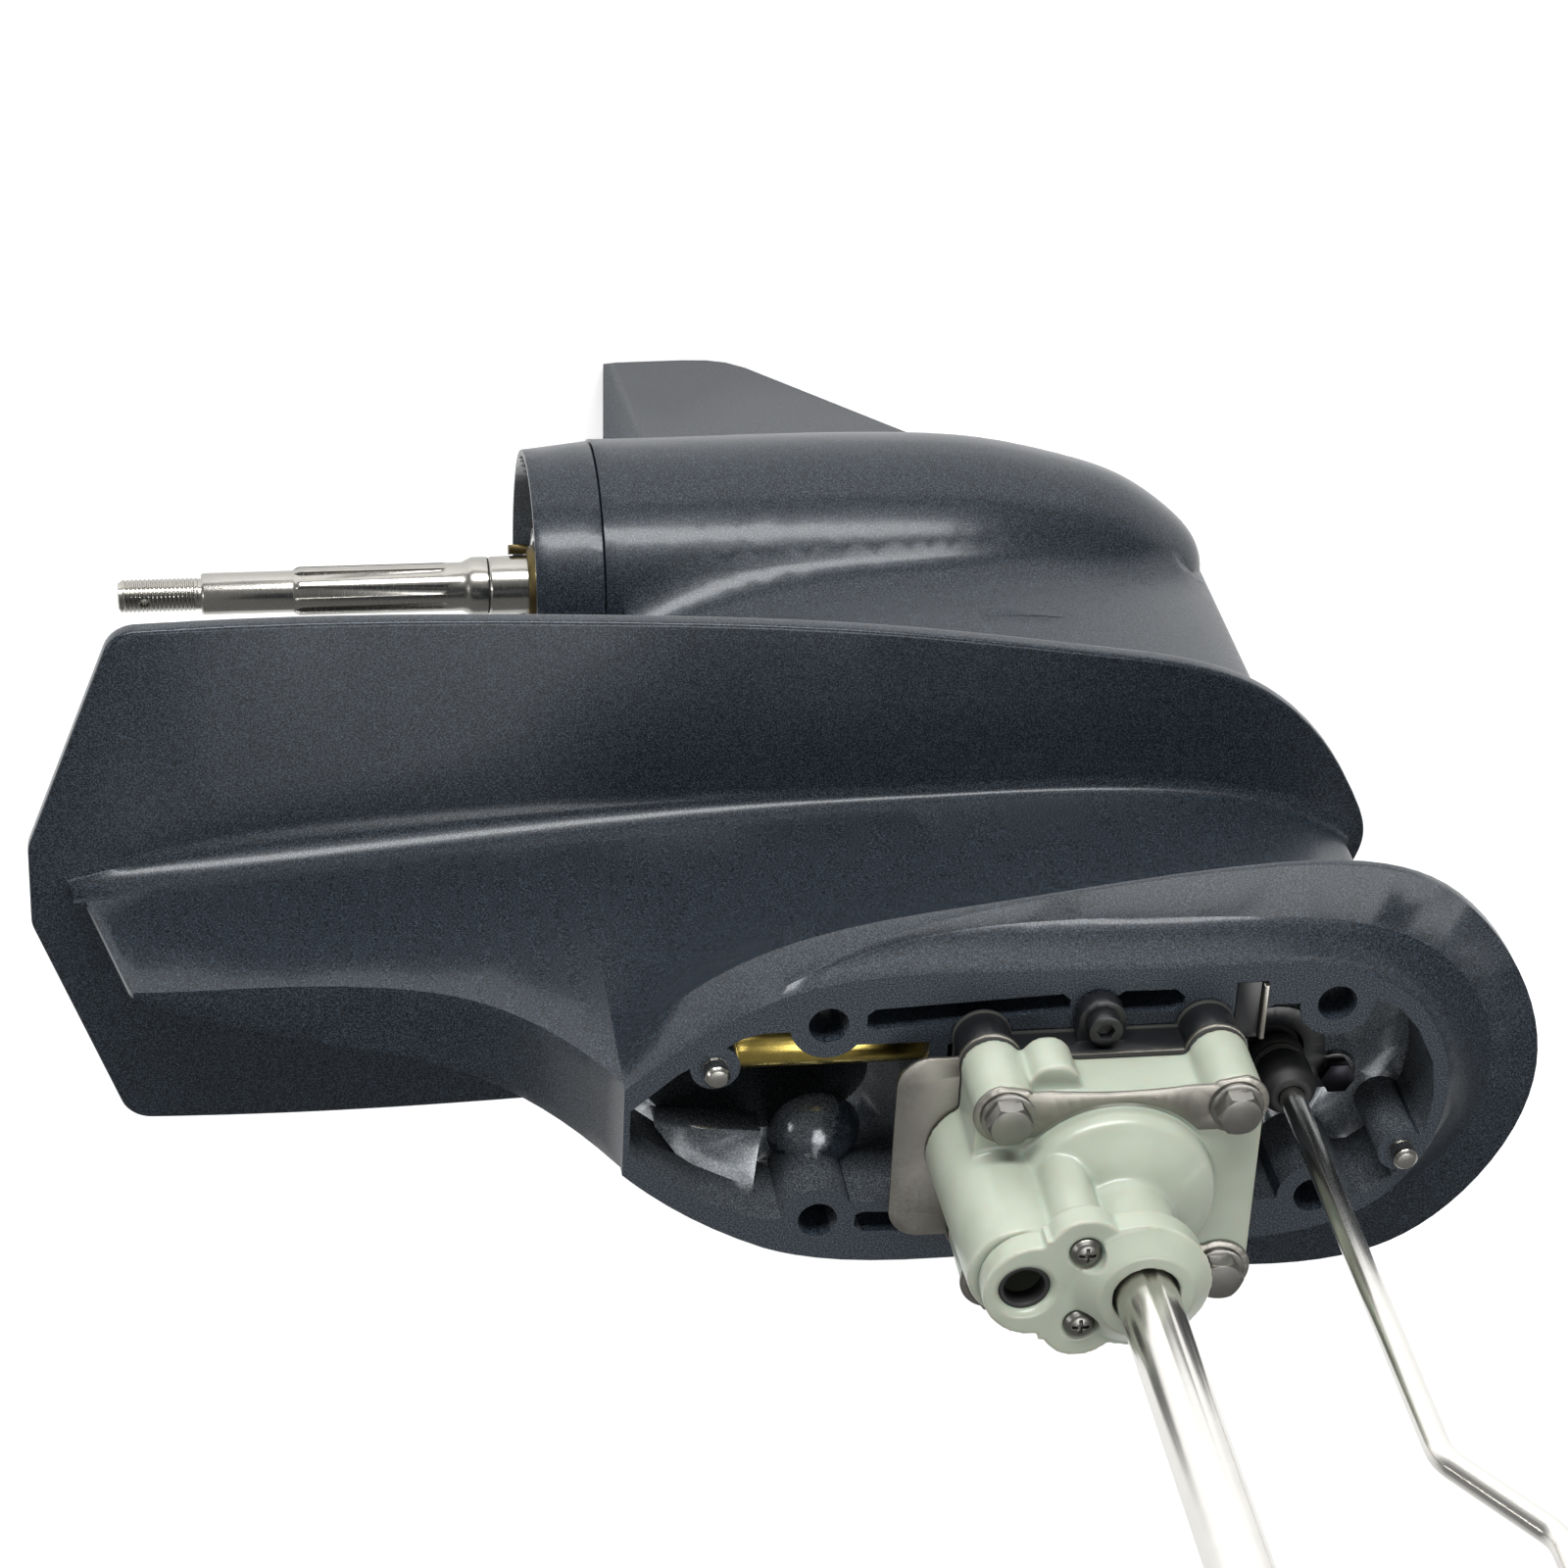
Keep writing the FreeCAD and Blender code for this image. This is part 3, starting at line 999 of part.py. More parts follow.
def pump_base_gasket():
    plate = pump_outline(-0.2, FIT - PUMP_SEAT_DROP, PUMP_BASE_Z - FIT)
    plate = plate.cut(block(-31, 35, -22, 22, -1, 2))
    for side in (-1, 1):
        plate = plate.cut(upright(BASE_SCREW_R + 3.8, -2, 8, BASE_SCREW_X, side * BASE_SCREW_Y))
    return bolt_holes(plate, -1, 2)


def pump_base_screws():
    screws = []
    for side in (-1, 1):
        z = PUMP_BASE_Z + 4.5 + FIT
        head = upright(4.2, z, z + 4.2, BASE_SCREW_X, side * BASE_SCREW_Y)
        shank = upright(BASE_SCREW_R, -12, z + 1, BASE_SCREW_X, side * BASE_SCREW_Y)
        socket = hexagon(4, z + 2, z + 5, BASE_SCREW_X, side * BASE_SCREW_Y)
        screws.append(head.fuse(shank).cut(socket))
    return Part.makeCompound(screws)


def wear_plate():
    low = PUMP_BASE_TOP + FIT
    high = low + WEAR_PLATE_THICK
    plate = pump_outline(0.5, low, high)
    tongue = block(WEAR_TONGUE_X + 8, -20, -26.5, 26.5, low, high)
    ends = [upright(8, low, high, WEAR_TONGUE_X + 8, y) for y in (-18.5, 18.5)]
    ends.append(block(WEAR_TONGUE_X, -20, -18.5, 18.5, low, high))
    plate = plate.multiFuse([tongue] + ends).removeSplitter()
    plate = plate.cut(upright(DRIVE_R + 1.5, low - 1, high + 1, DRIVE_X))
    plate = plate.cut(upright(4.5, low - 1, high + 1, 22, 0))
    return bolt_holes(plate, low, high)


def pump_gasket():
    low = PUMP_BASE_TOP + WEAR_PLATE_THICK + 2 * FIT
    gasket = pump_outline(0.1, low, low + GASKET_THICK - FIT)
    gasket = gasket.cut(upright(IMPELLER_CAVITY_R + LINER_WALL + 1, low - 1, low + 2, DRIVE_X))
    return bolt_holes(gasket, low, low + 1)


def pump_housing():
    """Moulded housing: flange with bosses, impeller cup, neck round the shaft and the outlet duct behind."""
    foot = PUMP_FOOT
    flange = pump_outline(0, foot, STRAP_Z)
    nub = upright(6.4, foot, 26, -12.6, 26.4)
    cup = turned_z([(0, foot), (CUP_R, foot), (CUP_R, CUP_TOP - 5.5), (CUP_R - 1.2, CUP_TOP - 3), (CUP_R - 4.2, CUP_TOP - 1.2),
                    (CUP_R - 5.2, CUP_TOP - 0.4), (NECK_R + 4, CUP_TOP + 2.4), (NECK_R + 0.6, CUP_TOP + 4.5),
                    (NECK_R, CUP_TOP + 8), (NECK_R, CAP_Z - 5), (NECK_R + 2.4, CAP_Z), (0, CAP_Z)], DRIVE_X)
    duct = Part.makeCone(DUCT_R + 0.4, DUCT_R - 1.2, CAP_Z - foot, V(DUCT_X, 0, foot), UP)
    web = block(DUCT_X, DRIVE_X, -8.5, 8.5, foot, CAP_Z - 7)
    posts = [upright(6.2, CUP_TOP - 4, CAP_Z, CAP_SCREW_X, y) for y in (-CAP_SCREW_Y, CAP_SCREW_Y)]
    body = flange.multiFuse([nub, cup, duct, web] + posts)
    cavity = upright(IMPELLER_CAVITY_R + LINER_WALL, foot - 1, IMPELLER_Z + IMPELLER_HEIGHT + 1.4, DRIVE_X)
    bore = upright(DRIVE_R + 1.3, foot, CAP_Z + 1, DRIVE_X)
    water = upright(OUTLET_R + 0.6, foot + 3, CAP_Z + 1, DUCT_X)
    port = block(DUCT_X, DRIVE_X - 16, -5, 5, foot + 3, IMPELLER_Z + 11)
    cuts = [cavity, bore, water, port]
    cuts += [upright(1.9, CAP_Z - 14, CAP_Z + 1, CAP_SCREW_X, y) for y in (-CAP_SCREW_Y, CAP_SCREW_Y)]
    return bolt_holes(body.cut(cuts), foot, STRAP_Z)


def pump_liner():
    """Stainless cup in which the impeller turns."""
    top = IMPELLER_Z + IMPELLER_HEIGHT + 1.3
    cup = upright(IMPELLER_CAVITY_R + LINER_WALL - FIT, PUMP_FOOT, top, DRIVE_X)
    cup = cup.cut(upright(IMPELLER_CAVITY_R, PUMP_FOOT - 1, top - LINER_WALL, DRIVE_X))
    cup = cup.cut(upright(DRIVE_R + 2, PUMP_FOOT, top + 1, DRIVE_X))
    return cup.cut(block(DUCT_X, DRIVE_X - 12, -4, 4, PUMP_FOOT + 4, IMPELLER_Z + 10))


def impeller():
    low, high = IMPELLER_Z, IMPELLER_Z + IMPELLER_HEIGHT
    hub = upright(11, low, high, 0)
    vanes = []
    for i in range(IMPELLER_VANES):
        vane = block(9, IMPELLER_CAVITY_R - MOVING - 1.4, -1.1, 1.1, low, high)
        tip = upright(1.5, low, high, IMPELLER_CAVITY_R - MOVING - 1.5)
        for piece in (vane, tip):
            piece.rotate(V(0, 0, 0), UP, 360.0 / IMPELLER_VANES * (i + 0.5))
            vanes.append(piece)
    rotor = hub.multiFuse(vanes)
    rotor.translate(V(DRIVE_X, 0, 0))
    rotor = rotor.cut(upright(DRIVE_R + FIT, low - 1, high + 1, DRIVE_X))
    return rotor.cut(block(DRIVE_X - 2 - FIT, DRIVE_X + 2 + FIT, 4, DRIVE_R + 1.5, low - 1, high + 1))


def impeller_key():
    return block(DRIVE_X - 2 + FIT, DRIVE_X + 2 - FIT, DRIVE_R - 1.6 + FIT, DRIVE_R + 1.4, IMPELLER_Z + 2 + FIT, IMPELLER_Z + 13 - FIT)


def cap_outline(low, high, grow=0.0):
    shapes = [upright(DUCT_R - 1.0 + grow, low, high, DUCT_X + 2.6), upright(17.6 + grow, low, high, DRIVE_X - 1.6),
              block(DUCT_X + 4, DRIVE_X - 4, -14.5 - grow, 14.5 + grow, low, high)]
    shapes += [upright(9.4 + grow, low, high, CAP_SCREW_X, y) for y in (-CAP_SCREW_Y, CAP_SCREW_Y)]
    return fused(shapes)


def pump_outlet_cap():
    """Cap that clamps the outlet's grommet; its top has the water outlet, two screws and the shaft's opening."""
    cap = cap_outline(CAP_Z + FIT, CAP_TOP)
    collar = Part.makeCone(17.0, 11.6, 4.6, V(DRIVE_X, 0, CAP_TOP - 0.1), UP)
    cap = cap.fuse(collar).removeSplitter()
    cuts = [upright(DRIVE_R + 0.7, CAP_Z - 1, CAP_TOP + 9, DRIVE_X),
            upright(OUTLET_R + 0.2 + FIT, CAP_Z - 1, CAP_TOP + 1, DUCT_X),
            upright(GROMMET_R + FIT, CAP_Z - 1, CAP_Z + 3, DUCT_X),
            Part.makeCone(OUTLET_R + 0.2, OUTLET_R + 1.6, 1.4, V(DUCT_X, 0, CAP_TOP - 1.3), UP)]
    for y in (-CAP_SCREW_Y, CAP_SCREW_Y):
        cuts.append(upright(2.2, CAP_Z - 1, CAP_TOP + 1, CAP_SCREW_X, y))
        cuts.append(upright(4.3, CAP_TOP - 1.2, CAP_TOP + 8, CAP_SCREW_X, y))
    return cap.cut(cuts)


def outlet_grommet():
    collar = upright(GROMMET_R, CAP_Z + 0.05, CAP_Z + 3 - FIT, DUCT_X)
    neck = upright(OUTLET_R + 0.2, CAP_Z + 1, CAP_TOP - 1.8, DUCT_X)
    return collar.fuse(neck).cut(upright(OUTLET_BORE_R, CAP_Z - 1, CAP_TOP + 1, DUCT_X))


def cap_screws():
    """Pan-head screws with cross recesses."""
    screws = []
    for y in (-CAP_SCREW_Y, CAP_SCREW_Y):
        z = CAP_TOP - 1.2 + FIT
        head = turned_z([(0, z), (3.9, z), (3.8, z + 1.0), (2.8, z + 2.1), (1.2, z + 2.6), (0, z + 2.6)], CAP_SCREW_X, y)
        shank = upright(1.8, CAP_Z - 12, z + 0.5, CAP_SCREW_X, y)
        cross = [block(CAP_SCREW_X - a, CAP_SCREW_X + a, y - b, y + b, z + 1.2, z + 4) for a, b in ((2.1, 0.45), (0.45, 2.1))]
        screws.append(head.fuse(shank).cut(cross))
    return Part.makeCompound(screws)


def pump_straps():
    """Stainless straps that spread the bolts' load; the inner edge follows the cup."""
    straps = []
    low, high = STRAP_Z + FIT, STRAP_Z + STRAP_THICK
    for side in (1, -1):
        x0, x1 = PUMP_X - PUMP_BOLT_X, PUMP_X + PUMP_BOLT_X
        ends = [upright(8.2, low, high, x, side * PUMP_BOLT_Y) for x in (x0, x1)]
        y0, y1 = sorted((side * 17.6, side * 30.6))
        bar = block(x0, x1, y0, y1, low, high)
        strap = bar.multiFuse(ends).removeSplitter()
        strap = strap.cut(upright(CUP_R + 1.2, low - 1, high + 1, DRIVE_X))
        strap = strap.cut(upright(DUCT_R + 1.5, low - 1, high + 1, DUCT_X))
        strap = strap.cut(cylinder(150, 10, V(PUMP_X, side * (150 + 29.6), low - 1), UP))
        straps.append(bolt_holes(max(strap.Solids, key=lambda s: s.Volume), low, high))
    return Part.makeCompound(straps)


def pump_bolts():
    """Hex bolts with washers, through strap, housing and wear plate into the base."""
    bolts = []
    for x, y in pump_bolt_places():
        z = STRAP_Z + STRAP_THICK + FIT
        washer = upright(6.6, z, z + 1.3, x, y)
        head = hexagon(10, z + 1.2, z + 5.6, x, y).common(turned_z([(0, z), (6.2, z), (6.2, z + 4.6), (4.9, z + 5.6), (0, z + 5.6)], x, y))
        bolts.append(washer.multiFuse([head, upright(PUMP_BOLT_R, -10, z + 1, x, y)]))
    return Part.makeCompound(bolts)


# Small parts of the casing

def dowel_pins():
    pins = []
    for x, y in (AFT_DOWEL, FORE_DOWEL):
        pins.append(turned_z([(0, -DOWEL_DEPTH + 0.1), (DOWEL_R, -DOWEL_DEPTH + 0.1), (DOWEL_R, 0.2),
                              (DOWEL_R - 0.3, 0.2), (DOWEL_R - 0.3, 0.8), (DOWEL_R, 0.8), (DOWEL_R, DOWEL_STANDING - 0.8),
                              (DOWEL_R - 0.8, DOWEL_STANDING), (0, DOWEL_STANDING)], x, y))
    return Part.makeCompound(pins)


def water_screens():
    """Slotted intake screens on both sides of the lower strut."""
    screens = []
    for side in (-1, 1):
        low, high = sorted((side * 15.2, side * 16.8))
        plate = block(SCREEN_X - SCREEN_LENGTH / 2, SCREEN_X + SCREEN_LENGTH / 2, low, high,
                      SCREEN_Z - SCREEN_HEIGHT / 2, SCREEN_Z + SCREEN_HEIGHT / 2)
        slots = [block(SCREEN_X - SCREEN_LENGTH / 2 + 4, SCREEN_X + SCREEN_LENGTH / 2 - 4, -30, 30,
                       SCREEN_Z + dz - 1.1, SCREEN_Z + dz + 1.1) for dz in (-12, -8, -4, 0, 4, 8, 12)]
        screens.append(plate.cut(slots))
    return Part.makeCompound(screens)


def side_plugs():
    """Slotted drain and vent screws on the starboard side."""
    plugs = []
    for x, z in PLUG_PLACES:
        head = cylinder(6.6, 3.4, V(x, -PLUG_SEAT_Y - 1.1, z), V(0, -1, 0))
        shank = cylinder(4.0, 8.5, V(x, -PLUG_SEAT_Y + 7, z), V(0, -1, 0))
        slot = block(x - 8, x + 8, -PLUG_SEAT_Y - 6, -PLUG_SEAT_Y - 3.0, z - 0.8, z + 0.8)
        plugs.append(head.fuse(shank).cut(slot))
    return Part.makeCompound(plugs)


def plug_gaskets():
    gaskets = []
    for x, z in PLUG_PLACES:
        washer = cylinder(6.8, 1.0, V(x, -PLUG_SEAT_Y - 0.05, z), V(0, -1, 0))
        gaskets.append(washer.cut(cylinder(4.1, 3, V(x, -PLUG_SEAT_Y + 1, z), V(0, -1, 0))))
    return Part.makeCompound(gaskets)


def anode():
    """Zinc block under the plate behind the strut."""
    top = PLATE_Z - PLATE_THICK - FIT
    body = prism([(ANODE_X - 30, -8), (ANODE_X - 30, 8), (ANODE_X + 24, 11), (ANODE_X + 34, 0), (ANODE_X + 24, -11)],
                 top - 10, top)
    return body.cut([upright(3.3, top - 12, top + 1, ANODE_X), upright(6.2, top - 12, top - 6, ANODE_X)])


def anode_screw():
    top = PLATE_Z - PLATE_THICK - FIT
    head = upright(5.4, top - 9.5, top - 6.05, ANODE_X)
    slot = block(ANODE_X - 8, ANODE_X + 8, -0.8, 0.8, top - 10, top - 8.2)
    return head.fuse(upright(3.0, top - 7, PLATE_Z + 6, ANODE_X)).cut(slot)


def cooling_tube():
    """Brass tube that crosses the port side of the exhaust chamber."""
    tube_r = COOLING_TUBE_R
    x0, x1 = COOLING_TUBE_X
    outer = cylinder(tube_r, x1 - x0, V(x0, COOLING_TUBE_Y, COOLING_TUBE_Z), FORWARD)
    return outer.cut(cylinder(tube_r - 1.2, x1 - x0 + 2, V(x0 - 1, COOLING_TUBE_Y, COOLING_TUBE_Z), FORWARD))


MAKERS = [
    gearcase_housing, bearing_carrier, carrier_o_ring, carrier_bolts, propshaft_seals, carrier_needle_bearing,
    thrust_washer, pinion, propshaft, dog_clutch, clutch_pin, clutch_pin_ring, shift_slider, shift_spring,
    propshaft_thrust_collar, shift_plunger, shift_cam, shift_rod, rod_boot, boot_clamp_ring, rod_guide_plate,
    rod_guide_bolt, driveshaft, pinion_nut, pinion_thrust_washer, pinion_bearing, driveshaft_bush, driveshaft_seals,
    pump_base, pump_base_gasket, pump_base_screws, wear_plate, pump_gasket, pump_housing, pump_liner, impeller,
    impeller_key, pump_outlet_cap, outlet_grommet, cap_screws, pump_straps, pump_bolts, dowel_pins, water_screens,
    side_plugs, plug_gaskets, anode, anode_screw, cooling_tube,
]


# These are drawn in neutral and stand in forward gear.
WITH_CLUTCH = [dog_clutch, clutch_pin, clutch_pin_ring, shift_slider, shift_plunger]
WITH_ROD = [shift_cam, shift_rod]


def in_forward_gear(maker):
    shape = maker()
    if maker in WITH_CLUTCH:
        shape.translate(V(ROD_TRAVEL * CAM_SLOPE, 0, 0))
    if maker in WITH_ROD:
        shape.translate(V(0, 0, ROD_TRAVEL))
    return shape


def main():
    os.makedirs("parts", exist_ok=True)
    for maker in MAKERS:
        save(maker.__name__, in_forward_gear(maker))
    for name, direction in (("forward", 1), ("reverse", -1)):
        save(name + "_gear", driven_gear(direction))
        save(name + "_bearing_outer", bearing_outer(direction))
        save(name + "_bearing_inner", bearing_inner(direction))


main()
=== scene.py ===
# %% [markdown]
# # Outboard lower unit
# This lesson dresses a finished CAD model of an outboard's lower unit: a painted gearcase with its
# plate and skeg, the water pump on its deck, the shafts and the parts inside. The solids give every
# shape its size. Blender adds what an eye looks for next: rounded edges, enamel, ground steel, moulded
# plastic, a rolled thread and the light.

# %% Load the frame
import math
import bmesh
import bpy
from mathutils import Matrix, Vector


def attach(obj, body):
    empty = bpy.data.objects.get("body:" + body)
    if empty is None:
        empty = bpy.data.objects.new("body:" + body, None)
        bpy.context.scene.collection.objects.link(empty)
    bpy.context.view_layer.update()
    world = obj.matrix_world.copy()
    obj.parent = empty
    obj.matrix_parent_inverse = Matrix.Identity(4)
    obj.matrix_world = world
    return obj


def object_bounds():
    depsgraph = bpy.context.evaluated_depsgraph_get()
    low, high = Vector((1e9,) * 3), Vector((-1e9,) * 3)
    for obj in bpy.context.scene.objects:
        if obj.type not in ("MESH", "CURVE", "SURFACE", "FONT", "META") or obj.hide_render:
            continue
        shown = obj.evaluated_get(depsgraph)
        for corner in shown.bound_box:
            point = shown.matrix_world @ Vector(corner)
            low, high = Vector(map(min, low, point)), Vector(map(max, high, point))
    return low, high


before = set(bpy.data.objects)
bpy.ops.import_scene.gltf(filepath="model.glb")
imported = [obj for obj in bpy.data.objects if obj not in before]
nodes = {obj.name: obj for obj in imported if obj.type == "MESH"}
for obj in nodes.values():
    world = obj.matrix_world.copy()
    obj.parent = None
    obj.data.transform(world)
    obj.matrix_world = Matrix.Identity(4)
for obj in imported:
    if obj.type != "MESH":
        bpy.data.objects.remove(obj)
cad_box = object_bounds()
print("CAD box, mm:", [[round(c * 1000, 1) for c in corner] for corner in cad_box])

# %% [markdown]
# ## The camera
# The photograph was taken with a long lens from the port side, above and a little behind, and then
# turned upside down. A camera is placed by one point and three directions: where the picture's right,
# its top and its back lie. They are written as a matrix, because a target and a roll angle would say
# the same less exactly.

# %% Camera
MM = 0.001
CAMERA_PLACE = Vector((-227.47, 631.56, 873.13)) * MM
PICTURE_RIGHT = Vector((0.98886665, 0.04412978, 0.14211022))
PICTURE_UP = Vector((0.03593599, 0.85592442, -0.51585074))
PICTURE_BACK = Vector((-0.14439999, 0.51521446, 0.84480927))
LENS = 100.7    # millimetres, on a sensor 36 mm wide

lens_data = bpy.data.cameras.new("long_lens")
lens_data.sensor_width = 36.0
lens_data.lens = LENS
lens_data.clip_start = 10 * MM
camera = bpy.data.objects.new("camera", lens_data)
bpy.context.scene.collection.objects.link(camera)
turn = Matrix((PICTURE_RIGHT, PICTURE_UP, PICTURE_BACK)).transposed()
camera.matrix_world = Matrix.Translation(CAMERA_PLACE) @ turn.to_4x4()
bpy.context.scene.camera = camera
print("camera to deck, mm:", round(CAMERA_PLACE.length * 1000))

# %% [markdown]
# ## Three helpers
# Every finish below is a small node tree. One helper turns a printed colour into the linear numbers
# that Blender computes with, one adds a node and joins it up, and one starts a material. With them, a
# finish reads as a list of what the real surface has.

# %% Helpers for colours and nodes
def linear(code):
    """An sRGB hex colour as the linear values that Blender's sockets take."""
    parts = [int(code[i:i + 2], 16) / 255 for i in (0, 2, 4)]
    return [c / 12.92 if c <= 0.04045 else ((c + 0.055) / 1.055) ** 2.4 for c in parts] + [1.0]


def add_node(tree, kind, values=None, **settings):
    """Adds a node. A value is a number, a colour or another node's output; settings are its options."""
    made = tree.nodes.new(kind)
    for name, value in settings.items():
        setattr(made, name, value)
    for name, value in (values or {}).items():
        if isinstance(value, bpy.types.NodeSocket):
            tree.links.new(value, made.inputs[name])
        else:
            made.inputs[name].default_value = value
    return made


def new_material(name, **sockets):
    """A material with its Principled shader, whose sockets are given by name with _ for a space."""
    material = bpy.data.materials.new(name)
    material.use_nodes = True
    shader = material.node_tree.nodes["Principled BSDF"]
    for socket, value in sockets.items():
        shader.inputs[socket.replace("_", " ")].default_value = value
    return material, material.node_tree, shader


print("slate grey as linear light:", [round(c, 3) for c in linear("3F4852")])

# %% [markdown]
# ## The floor
# The photograph is a studio picture on seamless white, so the floor has to come out white with hardly a
# shadow. It is matt white paper that also glows a little. Without the glow, the lamps that make paper
# white would burn out the pump's pale plastic.

# %% Floor
FLOOR_Z = cad_box[0].z - 0.2 * MM
FLOOR_HALF = 6.0
FLOOR_CORNERS = [(-1, -1), (1, -1), (1, 1), (-1, 1)]
PAPER_GLOW = 0.34

floor_mesh = bpy.data.meshes.new("floor")
corners = [(x * FLOOR_HALF, y * FLOOR_HALF, FLOOR_Z) for x, y in FLOOR_CORNERS]
floor_mesh.from_pydata(corners, [], [(0, 1, 2, 3)])
floor = bpy.data.objects.new("floor", floor_mesh)
bpy.context.scene.collection.objects.link(floor)
paper = new_material("white_background_paper", Base_Color=linear("F4F4F4"), Roughness=0.9,
                     Specular_IOR_Level=0.1, Emission_Color=linear("FFFFFF"), Emission_Strength=PAPER_GLOW)[0]
floor_mesh.materials.append(paper)
print("floor at z, mm:", round(FLOOR_Z * 1000, 1))

# %% [markdown]
# ## The light
# A dark glossy casting shows its form by what it mirrors. A long low soft box on the port side draws
# the highlight along the torpedo and the fillets. A broad one overhead lights the deck and the pump, a
# small one aft picks out the end of the propeller shaft, and a dim white surrounding fills the rest.

# %% Lights
def soft_box(name, place, target, width, height, power):
    """A rectangular area light that faces the target."""
    data = bpy.data.lights.new(name, "AREA")
    data.shape = "RECTANGLE"
    data.size = width
    data.size_y = height
    data.energy = power
    lamp = bpy.data.objects.new(name, data)
    bpy.context.scene.collection.objects.link(lamp)
    aim = (Vector(place) - Vector(target)).to_track_quat("Z", "Y")
    lamp.matrix_world = Matrix.Translation(place) @ aim.to_matrix().to_4x4()


soft_box("port_soft_box", place=(-0.17, 1.66, 0.52), target=(0.0, 0.0, -0.28), width=1.6, height=0.42,
         power=47)
soft_box("overhead_soft_box", place=(0.3, -0.05, 2.1), target=(0.0, 0.0, 0.0), width=1.2, height=1.0,
         power=27)
soft_box("aft_soft_box", place=(-1.9, 0.3, 0.9), target=(0.0, 0.0, -0.1), width=0.5, height=0.5, power=5)

world = bpy.data.worlds.new("white_studio")
world.use_nodes = True
surround = world.node_tree.nodes["Background"]
surround.inputs["Color"].default_value = linear("FFFFFF")
surround.inputs["Strength"].default_value = 0.25
bpy.context.scene.world = world
bpy.context.scene.view_settings.view_transform = "Standard"
print("lamps:", sorted(lamp.name for lamp in bpy.data.lights))

# %% [markdown]
# ## Metallic enamel on cast aluminium
# The gearcase is sand-cast aluminium, sprayed with a dark slate enamel that holds fine aluminium flake,
# under a clear coat. Up close it is a grain of lighter and darker points. A fine noise picks between
# two greys, a broader one keeps the casting from looking like plastic, and the coat adds the gloss.
# Real flakes are a few hundredths of a millimetre across and would vanish at this distance, so they are
# drawn about ten times larger.

# %% Enamel
FLAKE = 0.38 * MM
CASTING_WAVE = 9 * MM
FLAKE_EDGES = (0.42, 0.74)    # noise under the first is all dark, over the second all light
FLAKE_RELIEF = 0.06 * MM


def enamel(name, dark, light, roughness, metallic, coat):
    """Sprayed enamel with flake: dark and light are its two greys."""
    material, tree, shader = new_material(name, Roughness=roughness, Metallic=metallic,
                                          Specular_IOR_Level=0.24, Coat_Weight=coat, Coat_Roughness=0.14)
    place = add_node(tree, "ShaderNodeTexCoord").outputs["Object"]
    flake = add_node(tree, "ShaderNodeTexNoise", {"Vector": place, "Scale": 1 / FLAKE, "Detail": 2.0})
    wave = add_node(tree, "ShaderNodeTexNoise", {"Vector": place, "Scale": 1 / CASTING_WAVE, "Detail": 1.0})
    low, high = FLAKE_EDGES
    speck = add_node(tree, "ShaderNodeMapRange", {"Value": flake.outputs["Fac"], "From Min": low,
                                                  "From Max": high})
    colour = add_node(tree, "ShaderNodeMix", {"Factor": speck.outputs["Result"],
                                              "A": linear(dark), "B": linear(light)}, data_type="RGBA")
    tree.links.new(colour.outputs["Result"], shader.inputs["Base Color"])
    both = add_node(tree, "ShaderNodeMath", {0: flake.outputs["Fac"], 1: wave.outputs["Fac"]},
                    operation="ADD")
    bump = add_node(tree, "ShaderNodeBump", {"Height": both.outputs["Value"], "Strength": 0.16,
                                             "Distance": FLAKE_RELIEF})
    tree.links.new(bump.outputs["Normal"], shader.inputs["Normal"])
    return material


slate_enamel = enamel("slate_metallic_enamel", "0B0E12", "3F4852", roughness=0.33, metallic=0.12,
                      coat=0.16)
deck_enamel = enamel("thin_enamel_on_machined_deck", "1E2227", "545C65", roughness=0.42, metallic=0.2,
                     coat=0.05)
# The chambers' black enamel has its greys painted much lighter than the paint, as painted light where hardly
# any light gets in.
chamber_enamel = enamel("black_enamel_in_chambers", "303438", "6E747A", roughness=0.22, metallic=0.35,
                        coat=0.9)
print("enamels:", slate_enamel.name, deck_enamel.name, chamber_enamel.name)

# %% [markdown]
# ## Ground stainless steel
# The driveshaft, the propeller shaft and the shift rod are bar steel, turned and then ground between
# centres. The wheel leaves lines that run round the bar, so highlights smear along it. Noise squeezed
# along the bar and drawn out round it gives those lines in both roughness and bump. Real grinding lines
# are a few hundredths of a millimetre wide; these are drawn wider so that they show. The one steel comes
# in two tones: the upright bars are painted lighter, as painted light, and the level bars darker, as
# painted shade.

# %% Ground steel
GRINDING_LINE = 0.12 * MM
STAIN_WIDTH = 7 * MM
ROUND_UPRIGHT_BAR = (0.05, 0.05, 1.0)
ROUND_LEVEL_BAR = (1.0, 0.05, 0.05)


